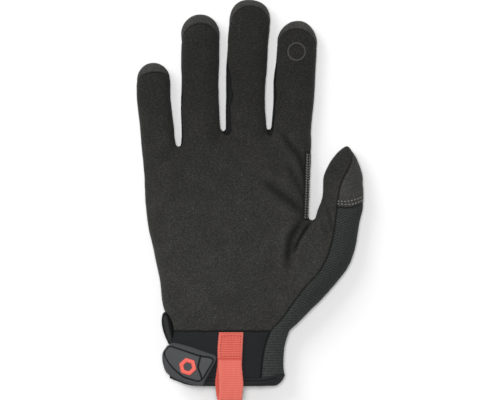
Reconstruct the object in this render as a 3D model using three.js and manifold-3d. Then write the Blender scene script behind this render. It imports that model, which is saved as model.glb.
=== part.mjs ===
// A mechanic's work glove for the right hand, lying on its back with the palm up.
// Millimetres, +Z up. The fingers point along +Y and the thumb leans towards +X.
// The glove is a hollow shell of cloth, cut along its seams into the panels that the real one is sewn from.
import * as THREE from 'three';
import { mergeVertices } from 'three/addons/utils/BufferGeometryUtils.js';
import Module from 'manifold-3d';

const wasm = await Module();
wasm.setup();

// Hand: the palm runs from the hem to the crease where the middle finger starts.
const PALM_WIDTH = 103;
const PALM_LENGTH = 144;
const PALM_HEIGHT = 27;

// Fingers: length from the root on the palm to the tip, and width across.
const LITTLE_LENGTH = 69.6;
const LITTLE_WIDTH = 20.8;
const RING_LENGTH = 90.1;
const RING_WIDTH = 24;
const MIDDLE_LENGTH = 96.4;
const MIDDLE_WIDTH = 25;
const INDEX_LENGTH = 89.5;
const INDEX_WIDTH = 25;
const FINGER_HEIGHT = 15;
const THUMB_LENGTH = 123.3;
const THUMB_WIDTH = 25.4;
const THUMB_HEIGHT = 19;

// Cloth and seams.
const WALL = 1.4;
const SEAM_GAP = 0.3;
const CAP_BACK = 5.5;
const WINDOW_WIDTH = 0.93;
const WEB_STRIP_WIDTH = 3.4;

// Wrist.
const SUEDE_END = 34.8;
const HEM_WIDTH = 5.4;
const HEM_OUTWARDS = 0.3;
const HEM_INWARDS = 1.9;
const SLIT_LENGTH = 30;
const SLIT_HEIGHT = 3;
const ROLL_WIDTH = 7.2;
const ROLL_HEIGHT = 7;
const ROLL_LENGTH = 19;

// Closure strap and its moulded tab, in layers round the wrist.
const STRAP_WIDTH = 16;
const STRAP_THICKNESS = 1.4;
const STRAP_CLEARANCE = 0.6;
const STRAP_BACK_LENGTH = 44;
const TAB_LENGTH = 33;
const TAB_WIDTH = 22.4;
const TAB_LEAN = 17;
const TAB_THICKNESS = 2.2;
const TAB_FIELD_DEPTH = 0.4;
const TAB_GROOVE_DEPTH = 0.9;
const TAB_GROOVE = 1;
const EMBLEM_WIDTH = 11;
const EMBLEM_HOLE = 5.6;
const EMBLEM_THICKNESS = 0.6;

// Pull loop of webbing, sewn flat at its upper end and doubled back on itself below the hem.
const WEBBING_WIDTH = 15.2;
const WEBBING_THICKNESS = 1.1;
const LOOP_SEWN = 17.4;
const LOOP_DROP = 8.1;
const LOOP_GAP = 1;
const LOOP_CLEARANCE = 0.35;

// Touch mark on the index finger.
const MARK_WIDTH = 12;
const MARK_HOLE = 9.6;
const MARK_THICKNESS = 0.4;
const MARK_FROM_TIP = 19.4;

// Numbers of points round a section, and how square the sections are above and below.
const PALM_SIDES = 24;
const FINGER_SIDES = 16;
const TOP_ROUNDNESS = 2.3;
const UNDER_ROUNDNESS = 3;

// Far enough to cut right through the glove.
const REACH = 400;

// Rows of the palm, from the hem to the finger roots. Each row's left and right ends are shares of the
// palm's width and length, and middle, top and under are shares of its height: where it is widest,
// how far its crown stands above that, and how far its back hangs below.
const PALM_ROWS = [
  { leftX: -0.265, leftY: 0, rightX: 0.3, rightY: 0, middle: 0.5, top: 0.46, under: 0.37 },
  { leftX: -0.325, leftY: 0.024, rightX: 0.335, rightY: 0.024, middle: 0.5, top: 0.48, under: 0.41 },
  { leftX: -0.343, leftY: 0.09, rightX: 0.336, rightY: 0.09, middle: 0.5, top: 0.49, under: 0.41 },
  { leftX: -0.343, leftY: 0.178, rightX: 0.345, rightY: 0.178, middle: 0.5, top: 0.5, under: 0.41 },
  { leftX: -0.337, leftY: 0.254, rightX: 0.378, rightY: 0.254, middle: 0.49, top: 0.51, under: 0.42 },
  { leftX: -0.384, leftY: 0.35, rightX: 0.434, rightY: 0.35, middle: 0.47, top: 0.53, under: 0.5 },
  { leftX: -0.4, leftY: 0.455, rightX: 0.464, rightY: 0.455, middle: 0.45, top: 0.55, under: 0.52 },
  { leftX: -0.434, leftY: 0.57, rightX: 0.476, rightY: 0.575, middle: 0.43, top: 0.56, under: 0.52 },
  { leftX: -0.467, leftY: 0.675, rightX: 0.487, rightY: 0.69, middle: 0.4, top: 0.53, under: 0.5 },
  { leftX: -0.487, leftY: 0.78, rightX: 0.492, rightY: 0.81, middle: 0.36, top: 0.46, under: 0.45 },
  { leftX: -0.495, leftY: 0.88, rightX: 0.501, rightY: 0.925, middle: 0.31, top: 0.39, under: 0.38 },
  { leftX: -0.503, leftY: 0.965, rightX: 0.506, rightY: 1.03, middle: 0.26, top: 0.3, under: 0.3 },
  { leftX: -0.508, leftY: 1.005, rightX: 0.504, rightY: 1.085, middle: 0.24, top: 0.25, under: 0.26 },
];

// Fingers. Roots are shares of the palm, lean is in degrees from +Y, and the rows run from root to tip:
// along is a share of the length, width and shift are shares of the width, height is a share of the height.
// The suede of the palm ends in a window at the tip: capEnd is its arc's distance from the tip, and capSide
// that of the place where the arc meets the sides, both as shares of the finger's width.
const FINGERS = [
  {
    name: 'little', length: LITTLE_LENGTH, width: LITTLE_WIDTH, rootX: -0.396, rootY: 0.911, lean: -4.25,
    tipLength: 0.615, tipPower: 2.1, height: 0.93, capEnd: 0.28, capSide: 0.51,
    rows: [
      { along: 0, width: 0.95, shift: 0.02, height: 0.85 },
      { along: 0.2, width: 1.01, shift: 0, height: 1.08 },
      { along: 0.45, width: 1.01, shift: -0.015, height: 1.04 },
      { along: 0.7, width: 1.01, shift: -0.02, height: 1 },
    ],
  },
  {
    name: 'ring', length: RING_LENGTH, width: RING_WIDTH, rootX: -0.154, rootY: 0.976, lean: -0.4,
    tipLength: 0.54, tipPower: 2.1, height: 0.98, capEnd: 0.24, capSide: 0.7,
    rows: [
      { along: 0, width: 1.08, shift: 0.03, height: 0.9 },
      { along: 0.23, width: 1.06, shift: 0.02, height: 1.12 },
      { along: 0.36, width: 1.01, shift: -0.01, height: 1.06 },
      { along: 0.52, width: 0.97, shift: -0.02, height: 1.03 },
      { along: 0.74, width: 1, shift: -0.03, height: 1 },
    ],
  },
  {
    name: 'middle', length: MIDDLE_LENGTH, width: MIDDLE_WIDTH, rootX: 0.102, rootY: 0.998, lean: 2.22,
    tipLength: 0.55, tipPower: 2.4, height: 1, capEnd: 0.16, capSide: 0.625,
    rows: [
      { along: 0, width: 1.06, shift: 0.05, height: 0.9 },
      { along: 0.19, width: 1.1, shift: 0.02, height: 1.12 },
      { along: 0.3, width: 1.01, shift: -0.005, height: 1.08 },
      { along: 0.42, width: 1, shift: -0.02, height: 1.05 },
      { along: 0.6, width: 1.01, shift: -0.01, height: 1.02 },
      { along: 0.76, width: 1, shift: 0, height: 1 },
    ],
  },
  {
    name: 'index', length: INDEX_LENGTH, width: INDEX_WIDTH, rootX: 0.367, rootY: 0.955, lean: 4.18,
    tipLength: 0.585, tipPower: 2.1, height: 0.98, capEnd: 0.21, capSide: 0.64,
    rows: [
      { along: 0, width: 1.04, shift: 0, height: 0.9 },
      { along: 0.25, width: 1.0, shift: 0, height: 1.1 },
      { along: 0.42, width: 1, shift: 0.01, height: 1.06 },
      { along: 0.57, width: 1.04, shift: 0, height: 1.04 },
      { along: 0.7, width: 1, shift: 0, height: 1 },
    ],
  },
];

// The thumb bends sideways off the straight line from root to tip by bend, a share of its length.
const THUMB = {
  name: 'thumb', length: THUMB_LENGTH, width: THUMB_WIDTH, rootX: 0.271, rootY: 0.242, lean: 22.2,
  tipLength: 0.777, tipPower: 1.4,
  rows: [
    { along: 0, bend: -0.02, width: 0.62, middle: 0.68, top: 0.5, under: 0.4 },
    { along: 0.07, bend: 0.012, width: 0.84, middle: 0.68, top: 0.6, under: 0.52 },
    { along: 0.19, bend: 0.056, width: 1.08, middle: 0.66, top: 0.7, under: 0.62 },
    { along: 0.34, bend: 0.096, width: 1.27, middle: 0.6, top: 0.74, under: 0.66 },
    { along: 0.46, bend: 0.112, width: 1.32, middle: 0.55, top: 0.68, under: 0.62 },
    { along: 0.55, bend: 0.113, width: 1.2, middle: 0.52, top: 0.62, under: 0.57 },
    { along: 0.65, bend: 0.11, width: 0.98, middle: 0.5, top: 0.58, under: 0.54 },
    { along: 0.75, bend: 0.091, width: 0.93, middle: 0.46, top: 0.54, under: 0.5 },
    { along: 0.83, bend: 0.065, width: 0.93, middle: 0.44, top: 0.52, under: 0.48 },
  ],
};

// Seam between the palm's suede and the thumb's knit, from below the hem to past the thumb's tip,
// in shares of the palm's width and length.
const THUMB_SEAM = [
  { x: 0.202, y: -0.2 },
  { x: 0.206, y: 0.039 },
  { x: 0.217, y: 0.125 },
  { x: 0.228, y: 0.168 },
  { x: 0.25, y: 0.22 },
  { x: 0.268, y: 0.246 },
  { x: 0.325, y: 0.289 },
  { x: 0.389, y: 0.354 },
  { x: 0.482, y: 0.441 },
  { x: 0.545, y: 0.488 },
  { x: 0.596, y: 0.551 },
  { x: 0.625, y: 0.609 },
  { x: 0.643, y: 0.674 },
  { x: 0.666, y: 0.803 },
  { x: 0.677, y: 0.855 },
  { x: 0.704, y: 0.903 },
  { x: 0.735, y: 0.942 },
  { x: 0.75, y: 0.975 },
  { x: 0.745, y: 1.2 },
];

// The same seam on the back of the hand, up past the crotch between thumb and index finger.
const THUMB_BACK_SEAM = [
  { x: 0.25, y: -0.2 },
  { x: 0.27, y: 0.1 },
  { x: 0.33, y: 0.3 },
  { x: 0.41, y: 0.5 },
  { x: 0.47, y: 0.66 },
  { x: 0.505, y: 0.74 },
  { x: 0.535, y: 0.8 },
  { x: 0.59, y: 1.2 },
];
const THUMB_CAP_Y = 0.776;

// Height of the side seam between palm and back, as a share of the palm's height, along the palm.
const SIDE_SEAM = [
  { along: -0.5, height: 0.5 },
  { along: 0.2, height: 0.48 },
  { along: 0.34, height: 0.38 },
  { along: 0.6, height: 0.22 },
  { along: 1, height: 0.11 },
  { along: 2.5, height: 0.11 },
];

// Strips between the fingers, from the crotch up: startY is a share of the palm's length, and left and right
// are how high the strip climbs on the finger at its left and right, as shares of the finger height.
const SIDE_STRIPS = [
  { name: 'fourchette_little_ring', between: 0, startY: 0.985, left: 0.47, right: 0.5 },
  { name: 'fourchette_ring_middle', between: 1, startY: 1.08, left: 0.47, right: 0.76 },
  { name: 'fourchette_middle_index', between: 2, startY: 1.06, left: 0.47, right: 0.76 },
];

// Outline of the closure tab in its own frame, in shares of its length and width, seen from above.
const TAB_CENTRE = { x: -0.223, y: 0.099 };
const TAB_OUTLINE = [
  { along: -0.499, across: 0.289 },
  { along: -0.426, across: 0.423 },
  { along: -0.25, across: 0.473 },
  { along: 0.012, across: 0.481 },
  { along: 0.267, across: 0.468 },
  { along: 0.407, across: 0.456 },
  { along: 0.448, across: 0.405 },
  { along: 0.452, across: 0.29 },
  { along: 0.414, across: -0.002 },
  { along: 0.373, across: -0.281 },
  { along: 0.355, across: -0.438 },
  { along: 0.266, across: -0.495 },
  { along: 0.117, across: -0.507 },
  { along: -0.034, across: -0.5 },
  { along: -0.188, across: -0.488 },
  { along: -0.382, across: -0.398 },
  { along: -0.464, across: -0.25 },
  { along: -0.521, across: -0.09 },
  { along: -0.545, across: 0.082 },
];

// Raised field inside the tab's rim, and the groove that divides it.
const TAB_FIELD = [
  { along: -0.412, across: 0.278 },
  { along: -0.283, across: 0.322 },
  { along: 0.161, across: 0.316 },
  { along: 0.329, across: 0.351 },
  { along: 0.397, across: 0.324 },
  { along: 0.401, across: 0.25 },
  { along: 0.349, across: -0.069 },
  { along: 0.318, across: -0.263 },
  { along: 0.243, across: -0.384 },
  { along: 0.099, across: -0.42 },
  { along: -0.038, across: -0.423 },
  { along: -0.229, across: -0.292 },
  { along: -0.367, across: -0.165 },
  { along: -0.459, across: -0.027 },
  { along: -0.47, across: 0.12 },
];
const TAB_DIVIDER = [
  { along: 0.152, across: 0.33 },
  { along: 0.158, across: 0.141 },
  { along: 0.17, across: -0.002 },
  { along: 0.244, across: -0.151 },
  { along: 0.305, across: -0.292 },
];
const EMBLEM_AT = { along: -0.02, across: -0.067 };

// Materials, with their colours as seen in daylight.
const cloth = (color, roughness) => new THREE.MeshStandardMaterial({ color, roughness, metalness: 0 });
const SUEDE = cloth(0x363634, 0.95);
const CAP_SUEDE = cloth(0x41413f, 0.95);
const KNIT = cloth(0x363837, 0.85);
const STRETCH = cloth(0x1c1d1e, 0.7);
const NEOPRENE = cloth(0x262729, 0.8);
const RUBBER = cloth(0x4c4e50, 0.55);
const RED_RUBBER = cloth(0xe0524c, 0.5);
const WEBBING = cloth(0xd9625a, 0.8);

const degrees = THREE.MathUtils.degToRad;
const vec2 = (x, y) => new THREE.Vector2(x, y);
const onPalm = (row) => vec2(row.x * PALM_WIDTH, row.y * PALM_LENGTH);

// A closed solid from a geometry whose shared corners are merged.
function solidOf(geometry) {
  geometry.deleteAttribute('normal');
  geometry.deleteAttribute('uv');
  const merged = mergeVertices(geometry, 1e-4);
  return new wasm.Manifold(new wasm.Mesh({
    numProp: 3,
    vertProperties: new Float32Array(merged.attributes.position.array),
    triVerts: new Uint32Array(merged.index.array),
  }));
}

const join = (solids) => solids.reduce((all, next) => all.add(next));

// A plan outline raised from z = low to z = high.
function prism(outline, low = -REACH, high = REACH) {
  const shape = new THREE.Shape(THREE.ShapeUtils.isClockWise(outline) ? [...outline].reverse() : outline);
  const geometry = new THREE.ExtrudeGeometry(shape, { depth: high - low, bevelEnabled: false });
  geometry.translate(0, 0, low);
  return solidOf(geometry);
}

// A side shape in Y and Z, pushed along X from left to right.
function sidePrism(shape, left, right) {
  const geometry = new THREE.ExtrudeGeometry(shape, { depth: right - left, bevelEnabled: false });
  geometry.rotateX(Math.PI / 2).rotateZ(Math.PI / 2);
  geometry.translate(left, 0, 0);
  return solidOf(geometry);
}

// A plan block from one corner to the other.
function block(x0, x1, y0, y1, low = -REACH, high = REACH) {
  return prism([vec2(x0, y0), vec2(x1, y0), vec2(x1, y1), vec2(x0, y1)], low, high);
}

// Points of a line moved sideways, to its left where the distance is positive.
function beside(points, distance) {
  return points.map((point, i) => {
    const before = points[Math.max(i - 1, 0)];
    const after = points[Math.min(i + 1, points.length - 1)];
    const heading = after.clone().sub(before).normalize();
    return vec2(point.x - heading.y * distance, point.y + heading.x * distance);
  });
}

// A closed outline moved inwards, corner by corner.
function inset(outline, distance) {
  const turn = THREE.ShapeUtils.isClockWise(outline) ? -1 : 1;
  return outline.map((point, i) => {
    const before = outline[(i + outline.length - 1) % outline.length];
    const after = outline[(i + 1) % outline.length];
    const heading = after.clone().sub(before).normalize();
    return vec2(point.x - heading.y * distance * turn, point.y + heading.x * distance * turn);
  });
}

// A regular outline with flat sides, or a round one where there are many.
function ringOutline(centre, width, sides, turn = 0) {
  return Array.from({ length: sides }, (_, i) => {
    const angle = turn + (2 * Math.PI * i) / sides;
    return vec2(centre.x + (Math.cos(angle) * width) / 2, centre.y + (Math.sin(angle) * width) / 2);
  });
}

const superCos = (angle, power) => Math.sign(Math.cos(angle)) * Math.abs(Math.cos(angle)) ** (2 / power);
const superSin = (angle, power) => Math.sign(Math.sin(angle)) * Math.abs(Math.sin(angle)) ** (2 / power);

// A tube lofted through sections, each { x, y, across, half, middle, top, under }, closed at both ends.
function tube(sections, sides) {
  const positions = [];
  for (const s of sections) {
    for (let i = 0; i < sides; i += 1) {
      const angle = (2 * Math.PI * (i + 0.5)) / sides;
      const power = Math.sin(angle) > 0 ? TOP_ROUNDNESS : UNDER_ROUNDNESS;
      const out = s.half * superCos(angle, power);
      const up = (Math.sin(angle) > 0 ? s.top : s.under) * superSin(angle, power);
      positions.push(s.x + s.across.x * out, s.y + s.across.y * out, s.middle + up);
    }
  }
  const index = [];
  for (let row = 0; row < sections.length - 1; row += 1) {
    for (let i = 0; i < sides; i += 1) {
      const a = row * sides + i;
      const b = row * sides + ((i + 1) % sides);
      index.push(a, a + sides, b, b, a + sides, b + sides);
    }
  }
  const last = (sections.length - 1) * sides;
  for (let i = 1; i < sides - 1; i += 1) {
    index.push(0, i, i + 1, last, last + i + 1, last + i);
  }
  const geometry = new THREE.BufferGeometry();
  geometry.setAttribute('position', new THREE.Float32BufferAttribute(positions, 3));
  geometry.setIndex(index);
  return solidOf(geometry);
}

// Value of a column in a table at a share along it, on straight lines between the rows.
function column(table, name, along) {
  const after = table.findIndex((row) => row.along >= along);
  if (after <= 0) return table[after < 0 ? table.length - 1 : 0][name];
  const [low, high] = [table[after - 1], table[after]];
  const share = (along - low.along) / (high.along - low.along);
  return low[name] + (high[name] - low[name]) * share;
}

// Palm sections, grown outwards by grow. A shrunken palm runs out past the hem, so that it opens the wrist.
function palmSections(grow) {
  return PALM_ROWS.map((row, i) => {
    let push = 0;
    if (i === 0 && grow < 0) push = -HEM_WIDTH;
    if (i === PALM_ROWS.length - 1) push = grow;
    const left = vec2(row.leftX * PALM_WIDTH, row.leftY * PALM_LENGTH + push);
    const right = vec2(row.rightX * PALM_WIDTH, row.rightY * PALM_LENGTH + push);
    const centre = left.clone().add(right).divideScalar(2);
    return {
      x: centre.x,
      y: centre.y,
      across: right.clone().sub(left).normalize(),
      half: left.distanceTo(right) / 2 + grow,
      middle: row.middle * PALM_HEIGHT,
      top: row.top * PALM_HEIGHT + grow,
      under: row.under * PALM_HEIGHT + grow,
    };
  });
}

const palm = (grow) => tube(palmSections(grow), PALM_SIDES);

// A point in plan at a share along a finger or the thumb and a distance to its right.
function fingerPoint(finger, along, right) {
  const lean = degrees(finger.lean);
  const ahead = vec2(Math.sin(lean), Math.cos(lean)).multiplyScalar(along * finger.length);
  const side = vec2(Math.cos(lean), -Math.sin(lean)).multiplyScalar(right);
  return vec2(finger.rootX * PALM_WIDTH, finger.rootY * PALM_LENGTH).add(ahead).add(side);
}

// Share of the way into a finger's rounded tip, which is 0 at its start and 1 at the very end.
function intoTip(finger, along) {
  const tip = (finger.tipLength * finger.width) / finger.length;
  return Math.min(1, Math.max(0, (along - 1 + tip) / tip));
}

// Distance of a finger's centre line to the right of the straight line from root to tip.
function sidestep(finger, along) {
  const off = finger === THUMB ? column(THUMB.rows, 'bend', along) * THUMB_LENGTH
    : column(finger.rows, 'shift', along) * finger.width;
  const last = finger.rows[finger.rows.length - 1].along;
  return along > last ? off * Math.max(0, (1 - along) / (1 - last)) : off;
}

// Half the width of a finger at a share along it, rounded off towards the tip.
function halfWidth(finger, along) {
  const body = (column(finger.rows, 'width', along) * finger.width) / 2;
  return body * (1 - intoTip(finger, along) ** finger.tipPower) ** (1 / finger.tipPower);
}

// Heights of a finger's section as shares of its own height.
function fingerHeights(finger, along) {
  if (finger === THUMB) {
    return {
      middle: column(finger.rows, 'middle', along) * THUMB_HEIGHT,
      top: column(finger.rows, 'top', along) * THUMB_HEIGHT,
      under: column(finger.rows, 'under', along) * THUMB_HEIGHT,
    };
  }
  const height = FINGER_HEIGHT * finger.height;
  const share = column(finger.rows, 'height', along);
  return { middle: 0.42 * height, top: 0.58 * share * height, under: 0.45 * share * height };
}

// Finger sections, grown outwards by grow, with a rounded end.
function fingerSections(finger, grow) {
  const tip = (finger.tipLength * finger.width) / finger.length;
  const body = finger.rows.map((row) => row.along).filter((along) => along < 1 - tip - 0.02);
  const round = [0, 31, 56, 79].map((turn) => 1 - tip + tip * Math.sin(degrees(turn)));
  const straight = vec2(Math.sin(degrees(finger.lean)), Math.cos(degrees(finger.lean)));
  return [...body, ...round].map((along, i) => {
    const into = intoTip(finger, along);
    const flatter = (1 - into ** 2.6) ** (1 / 2.6);
    const spot = fingerPoint(finger, along, sidestep(finger, along));
    const next = fingerPoint(finger, along + 0.02, sidestep(finger, along + 0.02));
    const heading = into > 0 ? straight : next.sub(spot).normalize();
    const back = i === 0 && grow < 0 ? 3 * grow : 0;
    spot.addScaledVector(heading, grow * into + back);
    const swell = grow * Math.sqrt(1.02 - into ** 2);
    const tall = fingerHeights(finger, along);
    return {
      x: spot.x,
      y: spot.y,
      across: vec2(heading.y, -heading.x),
      half: Math.max(Math.max(halfWidth(finger, along), 0.5) + swell, 0.3),
      middle: tall.middle,
      top: Math.max(tall.top * flatter + grow * (1 - into * 0.5), 0.3),
      under: Math.max(tall.under * flatter + grow * (1 - into * 0.5), 0.3),
    };
  });
}

// The whole hand, grown outwards by grow and pressed flat where it rests.
function hand(grow) {
  const fingers = [THUMB, ...FINGERS].map((finger) => tube(fingerSections(finger, grow), FINGER_SIDES));
  return join([palm(grow), ...fingers]).intersect(block(-REACH, REACH, -REACH, REACH, -grow, REACH));
}

// Everything lower than the side seam, grown upwards by grow.
function belowSideSeam(grow) {
  const line = SIDE_SEAM.map((row) => vec2(row.along * PALM_LENGTH, row.height * PALM_HEIGHT + grow));
  const [start, end] = [line[0].x, line[line.length - 1].x];
  const shape = new THREE.Shape([vec2(start, -REACH), vec2(end, -REACH), ...line.reverse()]);
  return sidePrism(shape, -REACH, REACH);
}

// The cap of a fingertip: all of the end, less the window that the palm's suede fills, and more on the back.
function capRegion(finger, grow) {
  const wide = finger.width / 2 + 3;
  const side = (finger.length - finger.capSide * finger.width - grow) / finger.length;
  const back = side - CAP_BACK / finger.length;
  const end = [fingerPoint(finger, 1.2, wide), fingerPoint(finger, 1.2, -wide)];
  const beyond = prism([...end, fingerPoint(finger, side, -wide), fingerPoint(finger, side, wide)]);
  const under = prism([...end, fingerPoint(finger, back, -wide), fingerPoint(finger, back, wide)]);
  const reach = ((finger.capSide - finger.capEnd) * finger.width) / finger.length;
  const half = (WINDOW_WIDTH * finger.width) / 2 - grow;
  const arc = Array.from({ length: 9 }, (_, i) => {
    const angle = (Math.PI * i) / 8;
    return fingerPoint(finger, side + reach * Math.sin(angle), half * Math.cos(angle));
  });
  const low = fingerHeights(finger, 1).middle + 1 + grow;
  const foot = [fingerPoint(finger, side - 0.1, -half), fingerPoint(finger, side - 0.1, half)];
  const window = prism([...arc, ...foot], low);
  return beyond.subtract(window).add(under.intersect(belowSideSeam(grow)));
}

// The thumb's side of the glove: right of its seam on the palm, and right of its seam on the back.
function thumbRegion(grow) {
  const front = beside(THUMB_SEAM.map(onPalm), grow);
  const back = beside(THUMB_BACK_SEAM.map(onPalm), grow);
  const close = (line) => prism([...line, vec2(REACH, line[line.length - 1].y), vec2(REACH, line[0].y)]);
  const overlap = 0.5;
  const above = close(front).subtract(belowSideSeam(-overlap));
  return above.add(close(back).intersect(belowSideSeam(overlap + grow)));
}

// The strip of stretch cloth between two fingers, up from the crotch.
function stripRegion(strip, grow) {
  const [a, b] = [FINGERS[strip.between], FINGERS[strip.between + 1]];
  const low = strip.startY * PALM_LENGTH - grow;
  const up = (finger) => {
    const start = (low - finger.rootY * PALM_LENGTH) / (finger.length * Math.cos(degrees(finger.lean)));
    return [fingerPoint(finger, start, 0), fingerPoint(finger, 1.1, 0)];
  };
  const [left, right] = [up(a), up(b)];
  const middle = left.map((point, i) => point.clone().add(right[i]).divideScalar(2));
  const all = prism([...left, right[1], right[0]], -REACH, strip.left * FINGER_HEIGHT + grow);
  const climb = prism([...middle, right[1], right[0]], 0, strip.right * FINGER_HEIGHT + grow);
  return all.add(climb);
}

// The narrow strip on the side of the palm, from the index finger's base down to the thumb's crotch.
function webRegion(grow) {
  const inner = [{ x: 0.492, y: 0.717 }, { x: 0.501, y: 0.88 }, { x: 0.506, y: 1.008 }].map(onPalm);
  const line = beside(inner, WEB_STRIP_WIDTH + grow);
  line[0].y -= grow;
  line[2].y += grow;
  return prism([...line, vec2(0.56 * PALM_WIDTH, line[2].y), vec2(0.53 * PALM_WIDTH, line[0].y)]);
}

// The roll of binding round the top of the slit at the wrist, in the slit's own place on the side.
function slitRoll(grow) {
  const row = column(PALM_ROWS.map((r) => ({ ...r, along: r.leftY })), 'leftX', 0.24);
  const rows = [
    { along: 0, half: 0.9, shift: 0.16 },
    { along: 0.5, half: 1, shift: 0.08 },
    { along: 0.85, half: 0.85, shift: 0.1 },
    { along: 1, half: 0.45, shift: 0.3 },
  ];
  return tube(rows.map((r, i) => ({
    x: row * PALM_WIDTH - ROLL_WIDTH * (0.14 - r.shift),
    y: SLIT_LENGTH - 3 + r.along * ROLL_LENGTH + (i === 0 ? -grow : 0) + (i === rows.length - 1 ? grow : 0),
    across: vec2(1, 0),
    half: (r.half * ROLL_WIDTH) / 2 + grow,
    middle: 0.5 * PALM_HEIGHT,
    top: (r.half * ROLL_HEIGHT) / 2 + grow,
    under: (r.half * ROLL_HEIGHT) / 2 + grow,
  })), 14);
}

// A layer that follows the wrist, from one distance outside it to another.
const wristLayer = (inner, outer) => palm(outer).subtract(palm(inner));

// A point of the closure tab in plan.
function tabPoint(row) {
  const lean = degrees(TAB_LEAN);
  const [along, across] = [row.along * TAB_LENGTH, row.across * TAB_WIDTH];
  return onPalm(TAB_CENTRE).add(vec2(
    along * Math.cos(lean) + across * Math.sin(lean),
    across * Math.cos(lean) - along * Math.sin(lean),
  ));
}

// The webbing of the pull loop seen from its side: sewn double at the top, and a flat ring below.
function loopShape() {
  const low = (PALM_ROWS[3].middle + PALM_ROWS[3].top) * PALM_HEIGHT + LOOP_CLEARANCE;
  const top = low + 2 * WEBBING_THICKNESS + LOOP_GAP;
  const [upper, sewn, nose] = [SUEDE_END - 1.4, SUEDE_END - 1.4 - LOOP_SEWN, -LOOP_DROP];
  const round = (top - low) / 2;
  const shape = new THREE.Shape([
    vec2(upper, low),
    vec2(upper, top - LOOP_GAP),
    vec2(sewn + 1, top - LOOP_GAP),
    vec2(sewn - 2, top),
    vec2(nose + round, top),
    vec2(nose + round * 0.3, top - round * 0.3),
    vec2(nose, top - round),
    vec2(nose + round * 0.3, low + round * 0.3),
    vec2(nose + round, low),
  ].reverse());
  shape.holes.push(new THREE.Path([
    vec2(sewn, low + WEBBING_THICKNESS),
    vec2(sewn - 2.2, top - WEBBING_THICKNESS),
    vec2(nose + round, top - WEBBING_THICKNESS),
    vec2(nose + WEBBING_THICKNESS, top - round),
    vec2(nose + round, low + WEBBING_THICKNESS),
  ]));
  return shape;
}

const group = new THREE.Group();

// The largest connected part of a solid.
function largest(solid) {
  return solid.decompose().reduce((best, next) => (next.volume() > best.volume() ? next : best));
}

// Adds a solid to the group as a named mesh.
function addPiece(name, solid, material) {
  const { vertProperties, triVerts } = solid.getMesh();
  const geometry = new THREE.BufferGeometry();
  geometry.setAttribute('position', new THREE.BufferAttribute(new Float32Array(vertProperties), 3));
  geometry.setIndex(new THREE.BufferAttribute(new Uint32Array(triVerts), 1));
  geometry.computeVertexNormals();
  const mesh = new THREE.Mesh(geometry, material);
  mesh.name = name;
  group.add(mesh);
}

// Cloth of the whole glove, open at the wrist and slit at its left side.
const slit = block(-REACH, -0.25 * PALM_WIDTH, -REACH, SLIT_LENGTH,
  (PALM_HEIGHT - SLIT_HEIGHT) / 2, (PALM_HEIGHT + SLIT_HEIGHT) / 2);
const aboveHem = block(-REACH, REACH, HEM_WIDTH + SEAM_GAP, REACH);
let cloths = hand(0).subtract(hand(-WALL)).subtract(slit).subtract(slitRoll(SEAM_GAP)).intersect(aboveHem);

// Cuts one panel out of the cloth along its seams, and leaves a seam's gap round it.
function cutPanel(name, region, material) {
  addPiece(name, largest(cloths.intersect(region(-SEAM_GAP / 2))), material);
  cloths = cloths.subtract(region(SEAM_GAP / 2));
}

for (const finger of FINGERS) {
  cutPanel(`tip_cap_${finger.name}`, (grow) => capRegion(finger, grow), CAP_SUEDE);
}
const thumbEnd = (grow) => block(0, REACH, THUMB_CAP_Y * PALM_LENGTH - grow, REACH);
cutPanel('thumb_cap', (grow) => thumbRegion(grow).intersect(thumbEnd(grow)), CAP_SUEDE);
cutPanel('thumb_knit_panel', thumbRegion, KNIT);
cutPanel('back_panel', belowSideSeam, KNIT);
for (const strip of SIDE_STRIPS) {
  cutPanel(strip.name, (grow) => stripRegion(strip, grow), STRETCH);
}
cutPanel('web_gusset', webRegion, KNIT);
cutPanel('wrist_panel', (grow) => block(-REACH, REACH, -REACH, SUEDE_END + grow), NEOPRENE);
addPiece('palm_panel', largest(cloths), SUEDE);

// Hem, a little thicker than the cloth on both faces.
const hem = palm(HEM_OUTWARDS).subtract(palm(-HEM_INWARDS)).subtract(slit);
addPiece('cuff_binding', largest(hem.intersect(block(-REACH, REACH, -REACH, HEM_WIDTH))), NEOPRENE);
addPiece('slit_binding', slitRoll(0), STRETCH);

// Closure strap: across the back, round the slit and under the tab.
const strapOut = STRAP_CLEARANCE + STRAP_THICKNESS;
const tabMiddle = onPalm(TAB_CENTRE);
const edgeY = tabPoint({ along: -0.4, across: 0 }).y;
const half = STRAP_WIDTH / 2;
const overFront = prism([
  vec2(-REACH, edgeY - half), vec2(-REACH, edgeY + half),
  tabPoint({ along: -0.4, across: half / TAB_WIDTH }), tabPoint({ along: 0, across: half / TAB_WIDTH }),
  tabPoint({ along: 0, across: -half / TAB_WIDTH }), tabPoint({ along: -0.4, across: -half / TAB_WIDTH }),
], PALM_HEIGHT / 2 - 1);
const backEnd = PALM_ROWS[3].leftX * PALM_WIDTH + STRAP_BACK_LENGTH;
const overBack = block(-REACH, backEnd, edgeY - half, edgeY + half, -REACH, PALM_HEIGHT / 2);
const strap = wristLayer(STRAP_CLEARANCE, strapOut).intersect(overFront.add(overBack)).intersect(
  block(-REACH, Math.max(backEnd, tabMiddle.x), -REACH, REACH));
addPiece('closure_strap', largest(strap), NEOPRENE);

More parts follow.
